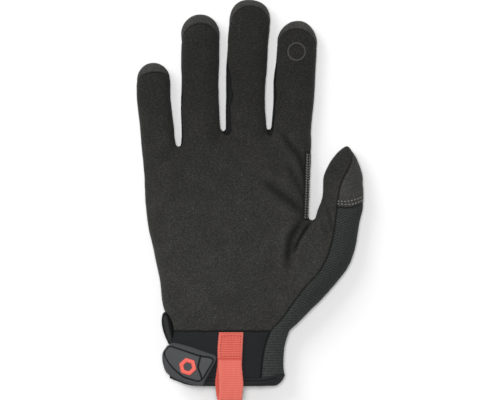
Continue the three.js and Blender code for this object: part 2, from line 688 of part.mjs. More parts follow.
// Tab: a rim, a field a little lower inside it, and grooves along the field's edge and across it.
const tabIn = strapOut + SEAM_GAP;
const tabOut = tabIn + TAB_THICKNESS;
const field = TAB_FIELD.map(tabPoint);
const divider = TAB_DIVIDER.map(tabPoint);
const lowered = (outline, depth) => palm(tabOut + 1).subtract(palm(tabOut - depth)).intersect(prism(outline));
const edgeGroove = lowered(field, TAB_GROOVE_DEPTH).subtract(prism(inset(field, TAB_GROOVE)));
const dividerGroove = lowered(
  [...beside(divider, TAB_GROOVE / 2), ...beside(divider, -TAB_GROOVE / 2).reverse()], TAB_GROOVE_DEPTH);
const tab = wristLayer(tabIn, tabOut)
  .intersect(prism(TAB_OUTLINE.map(tabPoint), PALM_HEIGHT / 2 + 1))
  .subtract(lowered(field, TAB_FIELD_DEPTH)).subtract(edgeGroove).subtract(dividerGroove);
addPiece('closure_tab', largest(tab), RUBBER);
const emblemIn = tabOut - TAB_FIELD_DEPTH + SEAM_GAP;
const emblemAt = tabPoint(EMBLEM_AT);
const emblem = wristLayer(emblemIn, emblemIn + EMBLEM_THICKNESS)
  .intersect(prism(ringOutline(emblemAt, EMBLEM_WIDTH, 6, degrees(-TAB_LEAN)), PALM_HEIGHT / 2))
  .subtract(prism(ringOutline(emblemAt, EMBLEM_HOLE, 12)));
addPiece('tab_emblem', largest(emblem), RED_RUBBER);

const loopLeft = 0.02 * PALM_WIDTH - WEBBING_WIDTH / 2;
addPiece('pull_loop', sidePrism(loopShape(), loopLeft, loopLeft + WEBBING_WIDTH), WEBBING);

// Touch mark: a plain raised ring on the index finger's pad.
const index = FINGERS[3];
const markAt = fingerPoint(index, 1 - MARK_FROM_TIP / INDEX_LENGTH, 0);
const markLayer = tube(fingerSections(index, SEAM_GAP + MARK_THICKNESS), FINGER_SIDES)
  .subtract(tube(fingerSections(index, SEAM_GAP), FINGER_SIDES));
const mark = markLayer.intersect(prism(ringOutline(markAt, MARK_WIDTH, 24), FINGER_HEIGHT / 2))
  .subtract(prism(ringOutline(markAt, MARK_HOLE, 24)));
addPiece('touch_mark', largest(mark), SUEDE);

// The origin is under the middle of the part.
const bounds = new THREE.Box3().setFromObject(group);
const centre = bounds.getCenter(new THREE.Vector3());
for (const mesh of group.children) {
  mesh.geometry.translate(-centre.x, -centre.y, -bounds.min.z);
}

export default group;
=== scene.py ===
"""A mechanic's work glove, lying on its back with the palm up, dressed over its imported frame.

The hand is one fused skin, cut along its seams into the panels that the real glove is sewn from.
Lengths in this file are in millimetres unless a name says otherwise, and places are measured from the
middle of the hem, with +Y towards the fingertips and +Z up out of the palm.
"""

from __future__ import annotations

import logging
import math
from dataclasses import dataclass, field
from enum import Enum
from typing import Iterable, Sequence

import bmesh
import bpy
import numpy as np
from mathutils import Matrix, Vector, noise
from mathutils.bvhtree import BVHTree
from mathutils.geometry import delaunay_2d_cdt
from mathutils.kdtree import KDTree

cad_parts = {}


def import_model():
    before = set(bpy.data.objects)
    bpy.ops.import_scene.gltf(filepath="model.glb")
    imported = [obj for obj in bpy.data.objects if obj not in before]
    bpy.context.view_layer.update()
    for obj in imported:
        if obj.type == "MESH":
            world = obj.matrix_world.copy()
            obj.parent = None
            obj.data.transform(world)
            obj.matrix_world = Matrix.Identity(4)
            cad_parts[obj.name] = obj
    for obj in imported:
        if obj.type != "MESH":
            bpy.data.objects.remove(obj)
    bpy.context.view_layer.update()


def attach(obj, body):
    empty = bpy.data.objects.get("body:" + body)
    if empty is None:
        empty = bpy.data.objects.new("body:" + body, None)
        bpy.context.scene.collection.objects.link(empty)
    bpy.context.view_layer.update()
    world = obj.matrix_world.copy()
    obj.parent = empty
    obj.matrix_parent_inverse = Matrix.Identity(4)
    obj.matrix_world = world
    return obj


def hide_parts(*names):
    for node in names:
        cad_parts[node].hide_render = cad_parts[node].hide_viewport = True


LOG = logging.getLogger("mechanic_glove")

MM = 0.001

# Rows of a table, and rows of two numbers.
Rows = tuple[tuple[float, ...], ...]
Pairs = tuple[tuple[float, float], ...]
# Named values of a shader's own sockets.
Shine = tuple[tuple[str, float], ...]


class Slot(Enum):
    """The record's material slots."""

    SUEDE = "suede"
    CAP_SUEDE = "cap_suede"
    KNIT = "knit"
    STRETCH = "stretch"
    NEOPRENE = "neoprene"
    WEBBING = "webbing"
    MOULDED_RUBBER = "moulded_rubber"
    RED_RUBBER = "red_rubber"


# Place of the hem's middle in the frame.
HEM_IN_FRAME = np.array([-15.06, -115.9, 0.0])
# How square the sections of cloth are above and below, where 2 is an ellipse.
TOP_ROUNDNESS = 2.3
UNDER_ROUNDNESS = 3.0
# Height of a finger's widest line, as a share of the finger's height.
FINGER_MIDDLE = 0.42
# How far the cloth stays above the table.
CLEARANCE = 0.02
# Height from which places are dropped onto the glove.
ABOVE_GLOVE = 60.0
# How far from a sheet's edge the distance to it is still told apart.
EDGE_REACH = 6.0


def linear_colour(hex_code: str) -> tuple[float, float, float, float]:
    """Turns an sRGB hex colour into linear red, green, blue and alpha.

    Args:
        hex_code: Six hex digits, such as "363634".

    Returns:
        The linear colour with alpha 1.
    """
    parts = [int(hex_code[i : i + 2], 16) / 255 for i in (0, 2, 4)]
    red, green, blue = (p / 12.92 if p <= 0.04045 else ((p + 0.055) / 1.055) ** 2.4 for p in parts)
    return (red, green, blue, 1.0)


def add_node(
    tree: bpy.types.NodeTree, kind: str, links: dict | None = None, **settings: object
) -> bpy.types.Node:
    """Adds a node with its settings, and its inputs as links or values.

    Args:
        tree: The tree that gets the node.
        kind: The node's type, which may leave out "ShaderNode".
        links: Input name or number to a value, a socket, or a node that stands for its first output in use.
        **settings: Attributes of the node, such as operation.

    Returns:
        The new node.
    """
    node = tree.nodes.new(kind if "Node" in kind else f"ShaderNode{kind}")
    for name, value in settings.items():
        setattr(node, name, value)
    for key, source in (links or {}).items():
        if isinstance(source, bpy.types.Node):
            source = next(socket for socket in source.outputs if socket.enabled)
        if isinstance(source, bpy.types.NodeSocket):
            tree.links.new(source, node.inputs[key])
        else:
            node.inputs[key].default_value = source
    return node


def smooth_curve(keys: Sequence[float], values: Sequence[float], at: np.ndarray) -> np.ndarray:
    """Reads a table along a smooth curve through its rows.

    Args:
        keys: Rising positions of the rows.
        values: Value in each row.
        at: Positions to read.

    Returns:
        The values there, flat beyond the table's ends.
    """
    x = np.asarray(keys, float)
    y = np.asarray(values, float)
    slope = np.gradient(y, x)
    t = np.clip(np.asarray(at, float), x[0], x[-1])
    i = np.clip(np.searchsorted(x, t, side="right") - 1, 0, len(x) - 2)
    span = x[i + 1] - x[i]
    u = (t - x[i]) / span
    return (
        (2 * u**3 - 3 * u**2 + 1) * y[i]
        + (u**3 - 2 * u**2 + u) * span * slope[i]
        + (3 * u**2 - 2 * u**3) * y[i + 1]
        + (u**3 - u**2) * span * slope[i + 1]
    )


def running_length(steps: np.ndarray) -> np.ndarray:
    """Adds up steps from 0."""
    return np.concatenate([[0], np.cumsum(steps)])


def circle(count: int, offset: float = 0.0) -> np.ndarray:
    """Gives even turns round a circle, the first of them a share of a step off 0."""
    return 2 * math.pi * (np.arange(count) + offset) / count


def ahead_of(turn: np.ndarray) -> np.ndarray:
    """Gives the direction in plan at each turn from +X."""
    return np.stack([np.cos(turn), np.sin(turn)], axis=1)


def step_between(low: float, high: float, x: np.ndarray) -> np.ndarray:
    """Rises smoothly from 0 at low to 1 at high."""
    t = np.clip((x - low) / (high - low), 0.0, 1.0)
    return t * t * (3 - 2 * t)


def polyline_distance(points: np.ndarray, line: np.ndarray) -> tuple[np.ndarray, np.ndarray]:
    """Measures how far points lie from a line in plan.

    Args:
        points: Points, of which x and y are used.
        line: Corners of the line, in order.

    Returns:
        The distance, positive on the line's right, and the length along the line to the nearest place.
    """
    best = np.full(len(points), np.inf)
    side = np.ones(len(points))
    along = np.zeros(len(points))
    run = 0.0
    for start, end in zip(line[:-1], line[1:]):
        step = end - start
        length = float(np.hypot(*step))
        rel = points[:, :2] - start
        t = np.clip(rel @ step / length**2, 0, 1)
        gap = rel - t[:, None] * step
        far = np.hypot(gap[:, 0], gap[:, 1])
        nearer = far < best
        cross = step[0] * rel[:, 1] - step[1] * rel[:, 0]
        side = np.where(nearer, np.where(cross > 0, -1.0, 1.0), side)
        along = np.where(nearer, run + t * length, along)
        best = np.where(nearer, far, best)
        run += length
    return best * side, along


def outline_distance(points: np.ndarray, outline: np.ndarray) -> np.ndarray:
    """Measures how far points lie inside a closed outline in plan.

    Args:
        points: Points, of which x and y are used.
        outline: Corners of the outline, in order.

    Returns:
        The distance to the outline, positive inside it.
    """
    closed = np.vstack([outline, outline[:1]])
    far, _ = polyline_distance(points, closed)
    inside = np.zeros(len(points), bool)
    x, y = points[:, 0], points[:, 1]
    for (x0, y0), (x1, y1) in zip(closed[:-1], closed[1:]):
        crosses = (y0 > y) != (y1 > y)
        where = (x1 - x0) * (y - y0) / (y1 - y0 if y1 != y0 else 1e-9) + x0
        inside ^= crosses & (x < where)
    return np.where(inside, np.abs(far), -np.abs(far))


def rounded_line(corners: Sequence[Sequence[float]], spacing: float, closed: bool = False) -> np.ndarray:
    """Draws a smooth line through corners.

    Args:
        corners: Corners in order, in two or three dimensions.
        spacing: Rough distance between the points of the result.
        closed: True if the line returns to its start.

    Returns:
        Points along the line.
    """
    pts = np.asarray(corners, float)
    if closed:
        pts = np.vstack([pts[-2:], pts, pts[:3]])
    steps = np.hypot(*np.diff(pts[:, :2], axis=0).T) + 1e-6
    keys = running_length(np.sqrt(steps))
    first, last = (2, len(pts) - 3) if closed else (0, len(pts) - 1)
    out = []
    for i in range(first, last):
        count = max(1, int(round(steps[i] / spacing)))
        out.append(keys[i] + (keys[i + 1] - keys[i]) * np.arange(count) / count)
    at = np.concatenate(out + ([] if closed else [[keys[last]]]))
    return np.stack([smooth_curve(keys, pts[:, k], at) for k in range(pts.shape[1])], axis=1)


def mesh_object(
    name: str, points: np.ndarray, faces: Iterable[Sequence[int]], edges: Sequence[tuple[int, int]] = ()
) -> bpy.types.Object:
    """Makes an object from points measured from the hem.

    Args:
        name: The object's name.
        points: Points in millimetres from the middle of the hem.
        faces: Corner numbers of each face.
        edges: Ends of each edge that has no face.

    Returns:
        The new object, linked to the scene, at the origin.
    """
    mesh = bpy.data.meshes.new(name)
    corners = [tuple(int(i) for i in face) for face in faces]
    mesh.from_pydata(((points + HEM_IN_FRAME) * MM).tolist(), list(edges), corners)
    mesh.validate()
    mesh.shade_smooth()
    obj = bpy.data.objects.new(name, mesh)
    bpy.context.scene.collection.objects.link(obj)
    return obj


def bake_modifiers(obj: bpy.types.Object) -> bpy.types.Object:
    """Turns an object with its modifiers into a plain mesh.

    Args:
        obj: The object, whose modifiers are removed.

    Returns:
        The same object with the finished mesh.
    """
    graph = bpy.context.evaluated_depsgraph_get()
    mesh = bpy.data.meshes.new_from_object(obj.evaluated_get(graph), depsgraph=graph)
    mesh.name = obj.name
    obj.modifiers.clear()
    obj.data = mesh
    return obj


def give_thickness(obj: bpy.types.Object, thickness: float) -> None:
    """Gives an open sheet of cloth its thickness, inwards from its outer face.

    Args:
        obj: The sheet.
        thickness: Its thickness in millimetres.
    """
    wall = obj.modifiers.new("cloth_thickness", "SOLIDIFY")
    wall.thickness = thickness * MM
    wall.offset = -1.0
    bake_modifiers(obj)


def unit_normals(points: np.ndarray, triangles: np.ndarray) -> np.ndarray:
    """Works out the smooth normal at each point of a mesh of triangles.

    Args:
        points: The mesh's points.
        triangles: Corner numbers of each triangle.

    Returns:
        A unit normal for each point.
    """
    a, b, c = (points[triangles[:, k]] for k in range(3))
    face = np.cross(b - a, c - a)
    total = np.zeros_like(points)
    for k in range(3):
        for axis in range(3):
            total[:, axis] += np.bincount(triangles[:, k], weights=face[:, axis], minlength=len(points))
    return total / np.maximum(np.linalg.norm(total, axis=1), 1e-12)[:, None]


def edges_of(triangles: np.ndarray) -> tuple[np.ndarray, np.ndarray]:
    """Lists a mesh's edges once each, with the number of triangles at each.

    Args:
        triangles: Corner numbers of each triangle.

    Returns:
        The ends of each edge, and the numbers of triangles.
    """
    pairs = np.sort(
        np.concatenate([triangles[:, [0, 1]], triangles[:, [1, 2]], triangles[:, [2, 0]]]), axis=1
    )
    return np.unique(pairs, axis=0, return_counts=True)


def fuzz(points: np.ndarray, size: float) -> np.ndarray:
    """Reads smooth noise from -1 to 1 at points, for lumps of about a size in millimetres.

    Args:
        points: The points.
        size: Rough size of a lump.

    Returns:
        The noise at each point.
    """
    scale = 1 / size
    roughness, lacunarity, octaves = 0.9, 2.0, 2
    places = (Vector(p) * scale for p in points.tolist())
    return np.array([noise.fractal(place, roughness, lacunarity, octaves) for place in places])


def swept_faces(rows: int, columns: int, closed: bool = False) -> list[tuple[int, ...]]:
    """Lists the quads between rings of points.

    Args:
        rows: Number of rings.
        columns: Number of points in a ring.
        closed: True if the last ring joins the first. Both get an end cap if it doesn't.

    Returns:
        Corner numbers of each face.
    """
    faces: list[tuple[int, ...]] = []
    for i in range(rows if closed else rows - 1):
        below = (i + 1) % rows
        for j in range(columns):
            after = (j + 1) % columns
            faces.append((i * columns + j, i * columns + after, below * columns + after, below * columns + j))
    if not closed:
        faces.append(tuple(range(columns))[::-1])
        faces.append(tuple((rows - 1) * columns + j for j in range(columns)))
    return faces


def face_outwards(obj: bpy.types.Object) -> bpy.types.Object:
    """Turns every face of a closed mesh outwards, and gives the object back.

    Args:
        obj: The object with the mesh.

    Returns:
        The same object.
    """
    work = bmesh.new()
    work.from_mesh(obj.data)
    bmesh.ops.recalc_face_normals(work, faces=work.faces)
    work.to_mesh(obj.data)
    work.free()
    return obj


def swept_object(name: str, rings: Sequence[np.ndarray], closed: bool = False) -> bpy.types.Object:
    """Joins rings of points into a closed piece that stays above the table.

    Args:
        name: The piece's name.
        rings: The rings, each with the same number of points.
        closed: True if the last ring joins the first.

    Returns:
        The piece.
    """
    points = np.concatenate(rings)
    points[:, 2] = np.maximum(points[:, 2], 0.0)
    return face_outwards(mesh_object(name, points, swept_faces(len(rings), len(rings[0]), closed)))


def mark(obj: bpy.types.Object, name: str, values: np.ndarray) -> None:
    """Stores a number at each point of a piece, for its finish to read."""
    store = obj.data.attributes.new(name, "FLOAT", "POINT")
    store.data.foreach_set("value", np.ravel(values).astype(np.float32))


def squared_turn(angle: np.ndarray) -> tuple[np.ndarray, np.ndarray]:
    """Gives how far out and up a section of cloth lies at each turn, as shares of its half sizes.

    Args:
        angle: Turns round the section, from 0 at its right side over the top.

    Returns:
        The shares outwards and upwards.
    """
    power = np.where(np.sin(angle) > 0, TOP_ROUNDNESS, UNDER_ROUNDNESS)
    out, up = (np.sign(part) * np.abs(part) ** (2 / power) for part in (np.cos(angle), np.sin(angle)))
    return out, up


# Finishes.


@dataclass(frozen=True)
class Finish:
    """What every finish has: its name, its colour, how dull it is, its relief and its shine."""

    name: str
    colour: str
    roughness: float
    # Whether painted shade darkens the cloth beside its seams.
    seams: bool = False
    relief: tuple[float, float] | None = None
    shine: Shine = ()

    def pattern(self, tree: bpy.types.NodeTree, place: bpy.types.NodeSocket) -> tuple:
        """Draws what is this finish's own.

        Args:
            tree: The material's tree.
            place: The place on the object.

        Returns:
            The share and the hex code of its other colour, a list of shades, and the height of the relief. A
            shade is a source, its low and high values, and what the colour is multiplied by at each of them.
        """
        raise NotImplementedError

    def build(self) -> bpy.types.Material:
        """Builds the material.

        Returns:
            The material, with its pattern, shades, relief and shine.
        """
        material = bpy.data.materials.new(self.name)
        material.use_nodes = True
        tree = material.node_tree
        shader = tree.nodes["Principled BSDF"]
        share, other, shades, height = self.pattern(tree, add_node(tree, "TexCoord").outputs["Object"])
        colour: object = linear_colour(self.colour)
        if other:
            ends = {6: colour, 7: linear_colour(other)}
            colour = add_node(tree, "Mix", {0: share, **ends}, data_type="RGBA")
        if self.seams:
            # Painted shade: the cloth is darkened beside its seams, where it turns into the seam's groove and
            # lies in shade.
            edge = add_node(tree, "Attribute", attribute_name="from_seam").outputs["Fac"]
            shades.append((edge, 0.15, 0.95, 0.3, 1.0))
        for source, low, high, at_low, at_high in shades:
            shade = add_node(tree, "MapRange", {"Value": source, 1: low, 2: high, 3: at_low, 4: at_high})
            colour = add_node(
                tree, "Mix", {0: 1.0, 6: colour, 7: shade}, data_type="RGBA", blend_type="MULTIPLY"
            )
        tree.links.new(colour.outputs[2], shader.inputs["Base Color"])
        if self.relief:
            strength, distance = self.relief
            bump = add_node(tree, "Bump", {"Height": height, "Strength": strength, "Distance": distance * MM})
            tree.links.new(bump.outputs[0], shader.inputs["Normal"])
        for name, value in (("Roughness", self.roughness), *self.shine):
            shader.inputs[name].default_value = value
        return material


@dataclass(frozen=True, kw_only=True)
class SuedeFinish(Finish):
    """Synthetic suede, napped: dull, with fine lighter specks of nap and lint, painted shade in its folds and
    painted light on their banks.
    """

    speck: str
    far_shade: float = 1.0
    seams: bool = True
    relief: tuple[float, float] = (0.3, 0.35)
    shine: Shine = (
        ("Specular IOR Level", 0.12), ("Sheen Weight", 0.05), ("Sheen Roughness", 0.6)
    )

    def pattern(self, tree: bpy.types.NodeTree, place: bpy.types.NodeSocket) -> tuple:
        """Draws the nap, darker towards the fingers, with painted shade in the folds and painted light on
        their banks.

        Args:
            tree: The material's tree.
            place: The place on the object.

        Returns:
            What every finish's pattern gives.
        """
        nap, brushed, lint = (
            add_node(
                tree, "TexNoise",
                {"Vector": place, "Scale": 1 / (size * MM), "Detail": detail, "Roughness": rough}
            )
            for size, detail, rough in ((0.8, 2.5, 0.6), (11.0, 3.0, 0.5), (1.15, 1.0, 0.5))
        )
        fold = add_node(tree, "Attribute", attribute_name="in_fold").outputs["Fac"]
        shades = [
            (brushed, 0.3, 0.7, 0.88, 1.12),
            (add_node(tree, "SeparateXYZ", {0: place}).outputs[1], -35 * MM, 75 * MM, 1.0, self.far_shade),
            (lint, 0.66, 0.8, 1.0, 2.1),
            # Painted shade in the folds' valleys, and painted light on their banks.
            (fold, -0.5, 1.0, 1.4, 0.32),
        ]
        specks = add_node(tree, "MapRange", {"Value": nap, 1: 0.43, 2: 0.7})
        return specks, self.speck, shades, nap


@dataclass(frozen=True, kw_only=True)
class KnitFinish(Finish):
    """Stretch nylon knit: zigzag rows of loops on the thumb's side, with lighter crests."""

    crest: str
    row: float = 1.65
    wave: float = 6.4
    wave_height: float = 1.8
    # The loops are 0.5 mm wide, too fine to show, so their columns are drawn wider.
    column: float = 1.1
    seams: bool = True
    relief: tuple[float, float] = (0.35, 0.25)
    shine: Shine = (("Specular IOR Level", 0.15),)

    def pattern(self, tree: bpy.types.NodeTree, place: bpy.types.NodeSocket) -> tuple:
        """Draws the rows of loops, which near the wrist run straight, less stretched and so lighter.

        Args:
            tree: The material's tree.
            place: The place on the object.

        Returns:
            What every finish's pattern gives.
        """
        x, y, z = add_node(tree, "SeparateXYZ", {0: place}).outputs
        made = {"x": x, "y": y, "z": z}
        made["upper"] = add_node(tree, "MapRange", {"Value": y, 1: -82 * MM, 2: -58 * MM})
        made["depth"] = add_node(tree, "MapRange", {"Value": made["upper"], 3: 0.55, 4: 1.0})
        made["grain"] = add_node(tree, "TexNoise", {"Vector": place, "Scale": 1 / (1.3 * MM), "Detail": 3.0})
        sums = (
            ("side", "SUBTRACT", "x", "z"),
            ("zigzag", "PINGPONG", "side", self.wave / 2 * MM),
            ("swing", "MULTIPLY", "zigzag", self.wave_height / (self.wave / 2)),
            ("down", "MULTIPLY_ADD", "swing", "upper", "y"),
            ("turns", "MULTIPLY", "down", 2 * math.pi / (self.row * MM)),
            ("rows", "SINE", "turns"),
            ("across", "MULTIPLY", "side", 2 * math.pi / (self.column * MM)),
            ("loops", "SINE", "across"),
            ("eased", "MULTIPLY", "rows", "depth"),
            ("crossed", "MULTIPLY_ADD", "loops", 0.5, "eased"),
            ("broken", "MULTIPLY_ADD", "grain", 3.2, "crossed"),
        )
        for name, operation, *terms in sums:
            given = {i: made.get(term, term) for i, term in enumerate(terms)}
            made[name] = add_node(tree, "Math", given, operation=operation)
        crest = add_node(tree, "MapRange", {"Value": made["broken"], 1: 0.6, 2: 2.6})
        shades = [(made["upper"], 0.0, 1.0, 1.3, 1.0)]
        return crest, self.crest, shades, made["broken"]


@dataclass(frozen=True, kw_only=True)
class GrainedFinish(Finish):
    """One colour with a fine grain, which goes to another where an attribute of the piece says so."""

    grain: float
    detail: float
    shades: tuple[float, float]
    groove: str = ""
    depth_name: str = ""

    def pattern(self, tree: bpy.types.NodeTree, place: bpy.types.NodeSocket) -> tuple:
        """Draws the grain over the colour.

        Args:
            tree: The material's tree.
            place: The place on the object.

        Returns:
            What every finish's pattern gives.
        """
        size = {"Scale": 1 / (self.grain * MM), "Detail": self.detail}
        grain = add_node(tree, "TexNoise", {"Vector": place, **size})
        depth = None
        if self.depth_name:
            depth = add_node(tree, "Attribute", attribute_name=self.depth_name).outputs["Fac"]
        return depth, self.groove, [(grain, 0.3, 0.7, *self.shades)], grain


@dataclass(frozen=True, kw_only=True)
class JerseyFinish(GrainedFinish):
    """Foam faced with a fine nylon jersey, or a plain stretch cloth: smooth and dull with a faint grain."""

    grain: float = 0.9
    detail: float = 3.0
    shades: tuple[float, float] = (0.88, 1.12)
    seams: bool = True
    relief: tuple[float, float] = (0.18, 0.2)
    shine: Shine = (("Specular IOR Level", 0.12),)


@dataclass(frozen=True, kw_only=True)
class RubberFinish(GrainedFinish):
    """Moulded soft rubber with the mould's fine eggshell texture, and painted shade in its grooves."""

    grain: float = 0.7
    detail: float = 2.0
    shades: tuple[float, float] = (0.93, 1.07)
    relief: tuple[float, float] = (0.12, 0.15)
    shine: Shine = (("Specular IOR Level", 0.25),)


@dataclass(frozen=True, kw_only=True)
class ThreadFinish(GrainedFinish):
    """Twisted polyester sewing thread, with a fine grain of lighter and darker tone."""

    grain: float = 0.4
    detail: float = 2.0
    shades: tuple[float, float] = (0.82, 1.12)


@dataclass(frozen=True, kw_only=True)
class WebbingFinish(Finish):
    """Woven polyester tape: ribs across it come from its mesh, and its warp shows as fine lines along it."""

    shade: str
    warp: float = 1.3
    relief: tuple[float, float] = (0.2, 0.15)
    shine: Shine = (("Sheen Weight", 0.1),)

    def pattern(self, tree: bpy.types.NodeTree, place: bpy.types.NodeSocket) -> tuple:
        """Draws the warp, and paints shade into the valleys between the ribs and the other places that the
        piece marks.

        Args:
            tree: The material's tree.
            place: The place on the object.

        Returns:
            What every finish's pattern gives.
        """
        along = add_node(tree, "Mapping", {"Vector": place, "Scale": (1 / (self.warp * MM), 90.0, 90.0)})
        warp = add_node(tree, "TexNoise", {"Vector": along, "Scale": 1.0, "Detail": 3.0})
        valley = add_node(tree, "Attribute", attribute_name="rib_valley").outputs["Fac"]
        mixed = add_node(tree, "Math", {0: warp, 1: 0.5, 2: valley}, operation="MULTIPLY_ADD")
        amount = add_node(tree, "MapRange", {"Value": mixed, 1: 0.15, 2: 1.1})
        return amount, self.shade, [], warp


PALM_SUEDE = SuedeFinish("synthetic_suede_palm", "272726", 0.95, speck="3e3d3a", far_shade=0.6)
CAP_SUEDE = SuedeFinish("synthetic_suede_cap", "31312f", 0.95, speck="474644")
BACK_KNIT = KnitFinish("nylon_knit_back", "222424", 0.85, crest="383b3a")
GUSSET_CLOTH = JerseyFinish("stretch_cloth_gusset", "1b1c1c", 0.8)
WRIST_FOAM = JerseyFinish("jersey_faced_foam_wrist", "212224", 0.8)
HEM_TAPE = JerseyFinish("jersey_faced_foam_hem", "272829", 0.8, seams=False)
# The groove colour is the binding's black edge, and painted shadow over the roll's right part where the
# slit's opening lies in shade.
BINDING_CLOTH = RubberFinish("stretch_cloth_binding", "2b2d2c", 0.9, groove="050505", depth_name="dark_edge")
# The groove colour is painted shade in the tab's grooves.
TAB_RUBBER = RubberFinish("moulded_rubber_tab", "47494b", 0.75, groove="08090a", depth_name="groove_depth")
RED_RUBBER = RubberFinish("moulded_rubber_red", "e8665b", 0.5)
MARK_INK = JerseyFinish("raised_print_grey", "454543", 0.7, seams=False)
# The shade colour is painted shade in the ribs' valleys, along the sewn part's end and over the lower layer.
RED_WEBBING = WebbingFinish("polyester_webbing_red", "e17365", 0.8, shade="c0463a")
LIGHT_THREAD = ThreadFinish("polyester_thread_light", "8a8984", 0.6)
DARK_THREAD = ThreadFinish("polyester_thread_grey", "777873", 0.65)
RED_THREAD = ThreadFinish("polyester_thread_red", "a93d33", 0.6)


# The shape of the hand.


@dataclass(frozen=True)
class Palm:
    """The palm's tube of cloth, as rows of plan widths and heights from the hem to the finger roots.

    Each row of the table is left x, left y, right x, right y as shares of width and length, then the middle
    height, the rise above it and the drop below it as shares of the height.
    """

    width: float = 103.0
    length: float = 144.0
    height: float = 27.0
    rows: Rows = (
        (-0.265, 0, 0.3, 0, 0.5, 0.46, 0.37),
        (-0.325, 0.024, 0.335, 0.024, 0.5, 0.48, 0.41),
        (-0.343, 0.09, 0.336, 0.09, 0.5, 0.49, 0.41),
        (-0.343, 0.178, 0.345, 0.178, 0.5, 0.5, 0.41),
        (-0.337, 0.254, 0.378, 0.254, 0.49, 0.51, 0.42),
        (-0.384, 0.35, 0.434, 0.35, 0.47, 0.53, 0.5),
        (-0.4, 0.455, 0.464, 0.455, 0.45, 0.55, 0.52),
        (-0.434, 0.57, 0.476, 0.575, 0.43, 0.56, 0.52),
        (-0.467, 0.675, 0.487, 0.69, 0.4, 0.53, 0.5),
        (-0.487, 0.78, 0.492, 0.81, 0.36, 0.46, 0.45),
        (-0.495, 0.88, 0.501, 0.925, 0.31, 0.39, 0.38),
        (-0.503, 0.965, 0.506, 1.03, 0.26, 0.3, 0.3),
        (-0.508, 1.005, 0.504, 1.085, 0.24, 0.25, 0.26),
    )

    def sections(self, along: np.ndarray) -> dict[str, np.ndarray]:
        """Reads the sections whose middles lie at distances along the palm.

        Args:
            along: Distances of the sections' middles from the hem.

        Returns:
            Arrays of left and right ends in plan, and the middle, top and under heights.
        """
        table = np.array(self.rows)
        keys = (table[:, 1] + table[:, 3]) / 2 * self.length
        at = [smooth_curve(keys, table[:, k], along) for k in range(7)]
        beyond = np.minimum(along, 0) / self.length
        return {
            "left": np.stack([at[0] * self.width, (at[1] + beyond) * self.length], axis=1),
            "right": np.stack([at[2] * self.width, (at[3] + beyond) * self.length], axis=1),
            "middle": at[4] * self.height,
            "top": at[5] * self.height,
            "under": at[6] * self.height,
        }

    def point(self, along: np.ndarray, angle: np.ndarray, grow: np.ndarray | float = 0.0) -> np.ndarray:
        """Gives points round the palm's sections.

        Args:
            along: Distance of each point's section from the hem.
            angle: Turn round the section, from 0 at the right side over the top.
            grow: How far outside the palm the points lie.

        Returns:
            The points.
        """
        s = self.sections(np.asarray(along, float))
        centre = (s["left"] + s["right"]) / 2
        span = s["right"] - s["left"]
        reach = np.hypot(span[:, 0], span[:, 1])
        out, up = squared_turn(angle)
        tall = np.where(up > 0, s["top"], s["under"]) + grow
        plan = centre + span / reach[:, None] * ((reach / 2 + grow) * out)[:, None]
        return np.column_stack([plan, s["middle"] + tall * up])

    def sweep(self, turn: np.ndarray, section: np.ndarray) -> np.ndarray:
        """Sweeps a section round the palm.

        Args:
            turn: Angles round the palm, one for each ring of points.
            section: Rows of distance from the hem and distance outside the palm.

        Returns:
            The rings of points.
        """
        along, grow = section.T
        return np.stack([self.point(along, np.full(len(along), angle), grow) for angle in turn])

    def roof(self, plan: np.ndarray, grow: float) -> np.ndarray:
        """Gives the height of the palm's upper face, grown outwards, over places near the wrist.

        Args:
            plan: Places in plan.
            grow: How far outside the palm the face lies.

        Returns:
            The height at each place.
        """
        s = self.sections(plan[:, 1])
        centre = (s["left"][:, 0] + s["right"][:, 0]) / 2
        half = (s["right"][:, 0] - s["left"][:, 0]) / 2 + grow
        out = np.clip(np.abs(plan[:, 0] - centre) / half, 0, 1) ** TOP_ROUNDNESS
        return s["middle"] + (s["top"] + grow) * (1 - out) ** (1 / TOP_ROUNDNESS)


